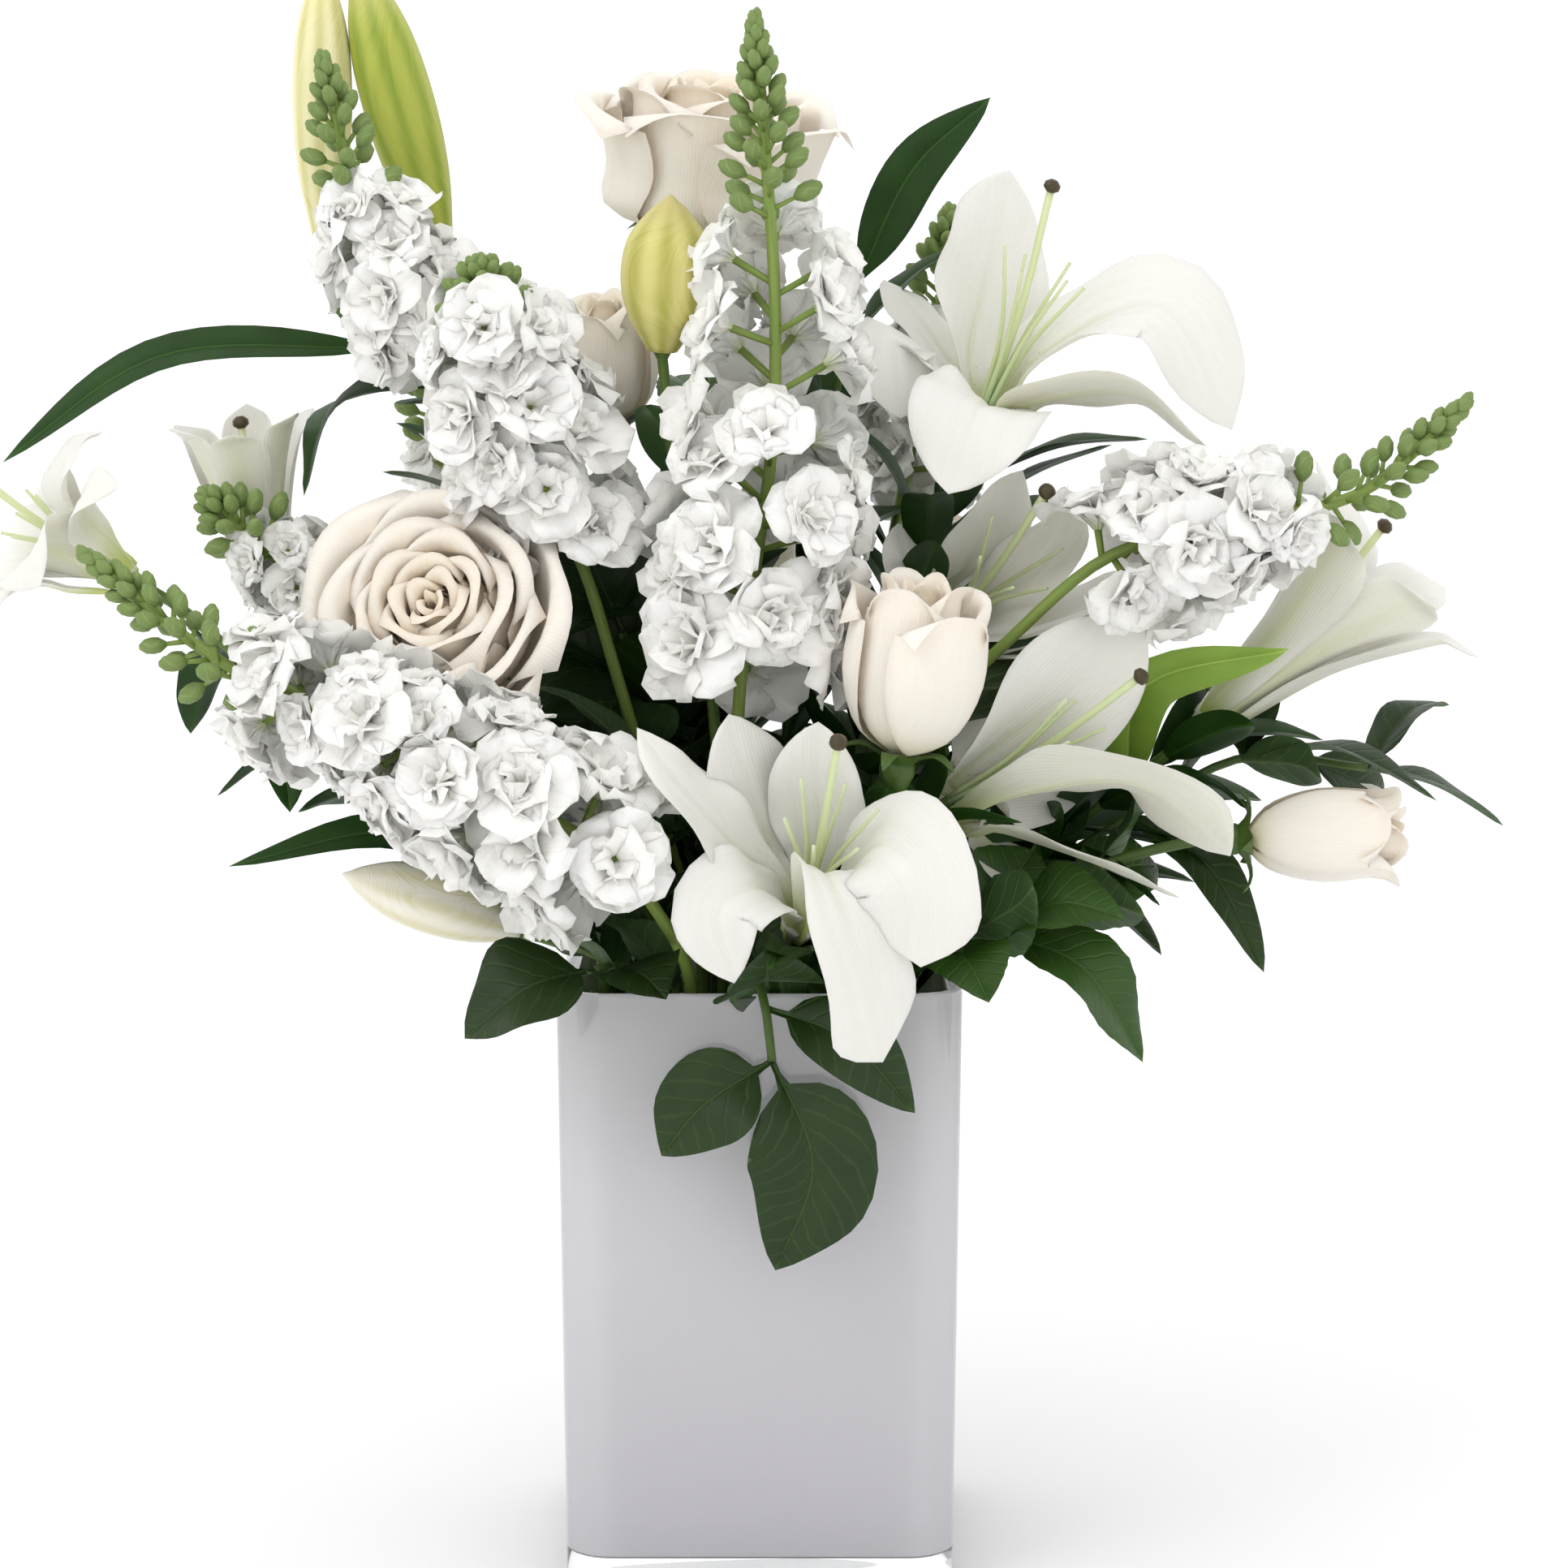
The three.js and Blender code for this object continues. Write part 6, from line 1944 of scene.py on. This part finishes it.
# %% Where each spray stands
FRONT, UPWARD = [0, -1, 0.3], [0, -0.6, 1]
SPRAYS = {
    "bud_centre_stem": {"mouth": [-12, -12], "bud": "bud_centre", "leaves": [
        {"at": -4, "tip": [-64, -20, 300], "kind": "lance", "wide": 1.3},
    ]},
    "bud_low_left_stem": {"mouth": [-50, -30], "bud": "bud_low_left", "leaves": [
        {"at": -4, "tip": [-182, -42, 290], "bow": [-8, 0, -8], "kind": "lance", "wide": 1.2},
        {
            "at": -4, "tip": [-168, -36, 222], "bow": [0, 8, 22], "kind": "lance", "wide": 0.9,
            "face": [0.3, -0.8, 0.8],
        },
    ]},
    "salal_front": {"mouth": [-4, -54], "end": [[-1, -64, 202], [2, -73, 192], [4, -76, 176]], "leaves": [
        {"at": -1, "tip": [-30, -80, 147], "bow": [-4, -5, 2], "kind": "salal", "wide": 0.8, "face": FRONT},
        {"at": -1, "tip": [5, -84, 112], "bow": [12, -8, 2], "kind": "salal", "wide": 1.05, "face": FRONT},
        {"at": -2, "tip": [48, -78, 160], "bow": [2, -8, 8], "kind": "salal", "wide": 0.6, "face": FRONT},
    ]},
    "salal_left": {"mouth": [-40, -52], "end": [[-44, -62, 204], [-50, -68, 203]], "leaves": [
        {"at": -1, "tip": [-90, -80, 184], "bow": [0, -4, 6], "kind": "salal", "face": UPWARD},
        {"at": -2, "tip": [-28, -84, 204], "bow": [0, -6, 4], "kind": "salal", "wide": 0.8, "face": UPWARD},
    ]},
    "rose_leaves_right": {"mouth": [42, -46], "end": [[58, -52, 208], [73, -50, 212]], "leaves": [
        {
            "at": -1, "tip": [120, -54, 171], "bow": [4, -6, 10], "kind": "rose", "wide": 1.1,
            "face": [0, -0.5, 1],
        },
        {"at": -1, "tip": [112, -66, 226], "bow": [0, -4, 8], "kind": "rose", "wide": 1.1, "face": UPWARD},
        {"at": -2, "tip": [70, -84, 196], "bow": [0, -6, 4], "kind": "rose", "face": UPWARD},
        {
            "at": -1, "tip": [86, -40, 250], "bow": [0, 0, 4], "kind": "rose", "wide": 1.2,
            "face": [0, -1, 0.4],
        },
        {"at": -3, "tip": [98, -24, 206], "kind": "rose", "wide": 1.1},
    ]},
    "ruscus_right": {"mouth": [50, -8], "end": [[120, 4, 240], [160, 4, 260], [196, 2, 256]], "leaves": [
        {"at": -1, "tip": [240, -2, 238], "bow": [0, 0, 4], "kind": "ruscus"},
        {"at": -1, "tip": [226, 26, 274], "kind": "ruscus", "wide": 0.9},
        {"at": -2, "tip": [214, -28, 236], "kind": "ruscus", "wide": 0.9},
        {"at": -2, "tip": [166, 34, 286], "kind": "ruscus"},
        {"at": -3, "tip": [150, 36, 232], "kind": "ruscus", "wide": 1.2},
        {"at": -3, "tip": [162, -14, 192], "bow": [4, 0, 8], "kind": "lance", "face": [0, -1, 1]},
        {"at": -4, "tip": [128, -26, 200], "kind": "ruscus", "wide": 1.3},
    ]},
    "leaf_top": {"mouth": [0, 32], "end": [[20, 32, 350], [32, 28, 412]], "leaves": [
        {
            "at": -1, "tip": [74, 24, 470], "bow": [-4, 0, 6], "kind": "lance", "wide": 1.1,
            "face": [0.4, -1, 0.4],
        },
        {"at": -2, "tip": [14, 66, 398], "kind": "salal", "wide": 0.8},
        {"at": -3, "tip": [60, 64, 330], "kind": "salal"},
    ]},
    "salal_middle": {"mouth": [-16, 16], "end": [[-34, 8, 262], [-44, 0, 300]], "inner": 30, "leaves": [
        {"at": -1, "tip": [-70, -10, 342], "kind": "salal", "wide": 0.9, "face": FRONT},
        {"at": -2, "tip": [-28, -26, 318], "kind": "salal", "wide": 0.8, "face": FRONT},
        {"at": -3, "tip": [-92, -6, 262], "kind": "salal", "wide": 1.2, "face": [0, -1, 0.6]},
        {"at": -3, "tip": [-8, -24, 250], "kind": "salal", "wide": 1.2, "face": [0, -1, 0.6]},
        {"at": -2, "tip": [-88, -2, 300], "kind": "salal", "wide": 1.2, "face": [0, -1, 0.4]},
        {"at": -2, "tip": [-4, 4, 330], "kind": "salal", "wide": 1.3, "face": [0, -1, 0.4]},
        {"at": -4, "tip": [-70, -20, 232], "kind": "salal", "wide": 1.2, "face": [0, -1, 0.5]},
    ]},
    "salal_back": {"mouth": [12, 50], "end": [[14, 76, 226], [20, 104, 238]], "leaves": [
        {"at": -1, "tip": [30, 150, 214], "kind": "salal"},
        {"at": -1, "tip": [78, 126, 250], "kind": "salal"},
        {"at": -2, "tip": [-30, 118, 232], "kind": "salal"},
        {"at": -3, "tip": [54, 92, 206], "kind": "salal", "wide": 0.9},
    ]},
}
print("leaves laid out:", sum(len(spray["leaves"]) for spray in SPRAYS.values()))

# %% [markdown]
# ### Growing the sprays
# Each spray is one stem with its leaves, and two end in a lily bud. They could be two kinds of
# step, but only their radius, their end and their finishes differ.

# %% Sprays
LEAF_FINISHES = {
    "salal": (SALAL, SALAL_UNDER), "ruscus": (SALAL, SALAL_UNDER), "rose": (ROSE_LEAF, SALAL_UNDER),
    "lance": (LILY_LEAF, LILY_LEAF),
}
BUD_STEM, SPRAY_STEM = 2.3, 1.9  # mm, the radius at the foot
INNER = 8  # leaves to try inside the bouquet, unless the layout says more

for node, spray in SPRAYS.items():
    chance = random.Random(node)
    skin = Skin(f"{node}_and_blades")
    kind = spray["leaves"][0]["kind"]
    if "bud" in spray:
        radius, end, stem_finish, slot = BUD_STEM, bud_end(BUDS[spray["bud"]]), LILY_STALK, "stem_green"
    else:
        radius, end, stem_finish, slot = SPRAY_STEM, {"end": spray["end"]}, ROSE_STALK, "leaf_green"
    centres, radii = grown(node, spray["mouth"], radius, **end)
    stalk(skin, centres, radii)
    leaves_on(skin, node, centres, spray["leaves"], chance, (1, 2))
    count = spray.get("inner", INNER)
    more = inner_leaves(skin, centres, kind, (0.45, 0.98), count, (36, 60), chance, (1, 2))
    print(node, "inner leaves:", more)
    skin.finish([stem_finish, *LEAF_FINISHES[kind]], node, slot=slot)
print("sprays:", len(SPRAYS))

# %% [markdown]
# ## Floor and light
# The photo is a bright cut-out on white, lit softly from the front and above. Three studio lamps
# could do that, but each would leave its highlight on the glass. A pale floor under a nearly white
# sky gives the same even light, and one large lamp at the front left keeps soft shadows.

# %% Floor, sky and lamp
FLOOR_RADIUS, BELOW = 8, 0.0005  # m, the second a hair's breadth under the vase's foot
SKY, SKY_STRENGTH = "#FBFBFC", 1.17
LAMP_AT, LAMP_SIZE, LAMP_WATTS = (-0.8, -0.9, 1.5), 0.7, 4.5
TARGET = Vector((0.0077, 0, 0.251))  # m, the middle of the photo

# Matt and almost white: the vase stands on something, but nothing draws the eye from it.
floor_finish = finish_named("pale_floor", Base_Color=linear("#FAFAFA"), Roughness=0.9)
place = (0, 0, -BELOW)
bpy.ops.mesh.primitive_circle_add(vertices=96, radius=FLOOR_RADIUS, fill_type="NGON", location=place)
floor = bpy.context.object
floor.name = "floor"
floor.data.materials.append(floor_finish)

world = bpy.data.worlds.new("soft_sky")
bpy.context.scene.world = world
world.use_nodes = True
sky = world.node_tree.nodes["Background"]
sky.inputs["Color"].default_value = linear(SKY)
sky.inputs["Strength"].default_value = SKY_STRENGTH

lamp = bpy.data.lights.new("key", "AREA")
lamp.size, lamp.energy = LAMP_SIZE, LAMP_WATTS
holder = bpy.data.objects.new("key", lamp)
bpy.context.scene.collection.objects.link(holder)
holder.location = LAMP_AT
holder.rotation_euler = (TARGET - holder.location).to_track_quat("-Z", "Y").to_euler()
print("lamp of", LAMP_WATTS, "W,", LAMP_SIZE, "m wide")

# %% [markdown]
# ## Camera
# The vase's rim and foot show that the photo was taken from about 8 degrees above the level, some
# 1.3 m away. The camera could be set by eye in the viewport, but from these two and the vase's
# scale it follows exactly.

# %% Camera
DISTANCE, ELEVATION = 1.3, math.radians(8)
FOCAL_PIXELS, IMAGE, SENSOR = 4967, 1932, 36  # px, px and mm
camera = bpy.data.objects.new("camera", bpy.data.cameras.new("camera"))
bpy.context.scene.collection.objects.link(camera)
back = Vector((0, -math.cos(ELEVATION), math.sin(ELEVATION)))
camera.location = TARGET + back * DISTANCE
camera.rotation_euler = (-back).to_track_quat("-Z", "Y").to_euler()
camera.data.sensor_width = SENSOR
camera.data.lens = FOCAL_PIXELS / IMAGE * SENSOR
bpy.context.scene.camera = camera
bpy.context.scene.view_settings.view_transform = "Standard"
print("camera at", [round(c, 3) for c in camera.location], "lens", round(camera.data.lens, 1), "mm")
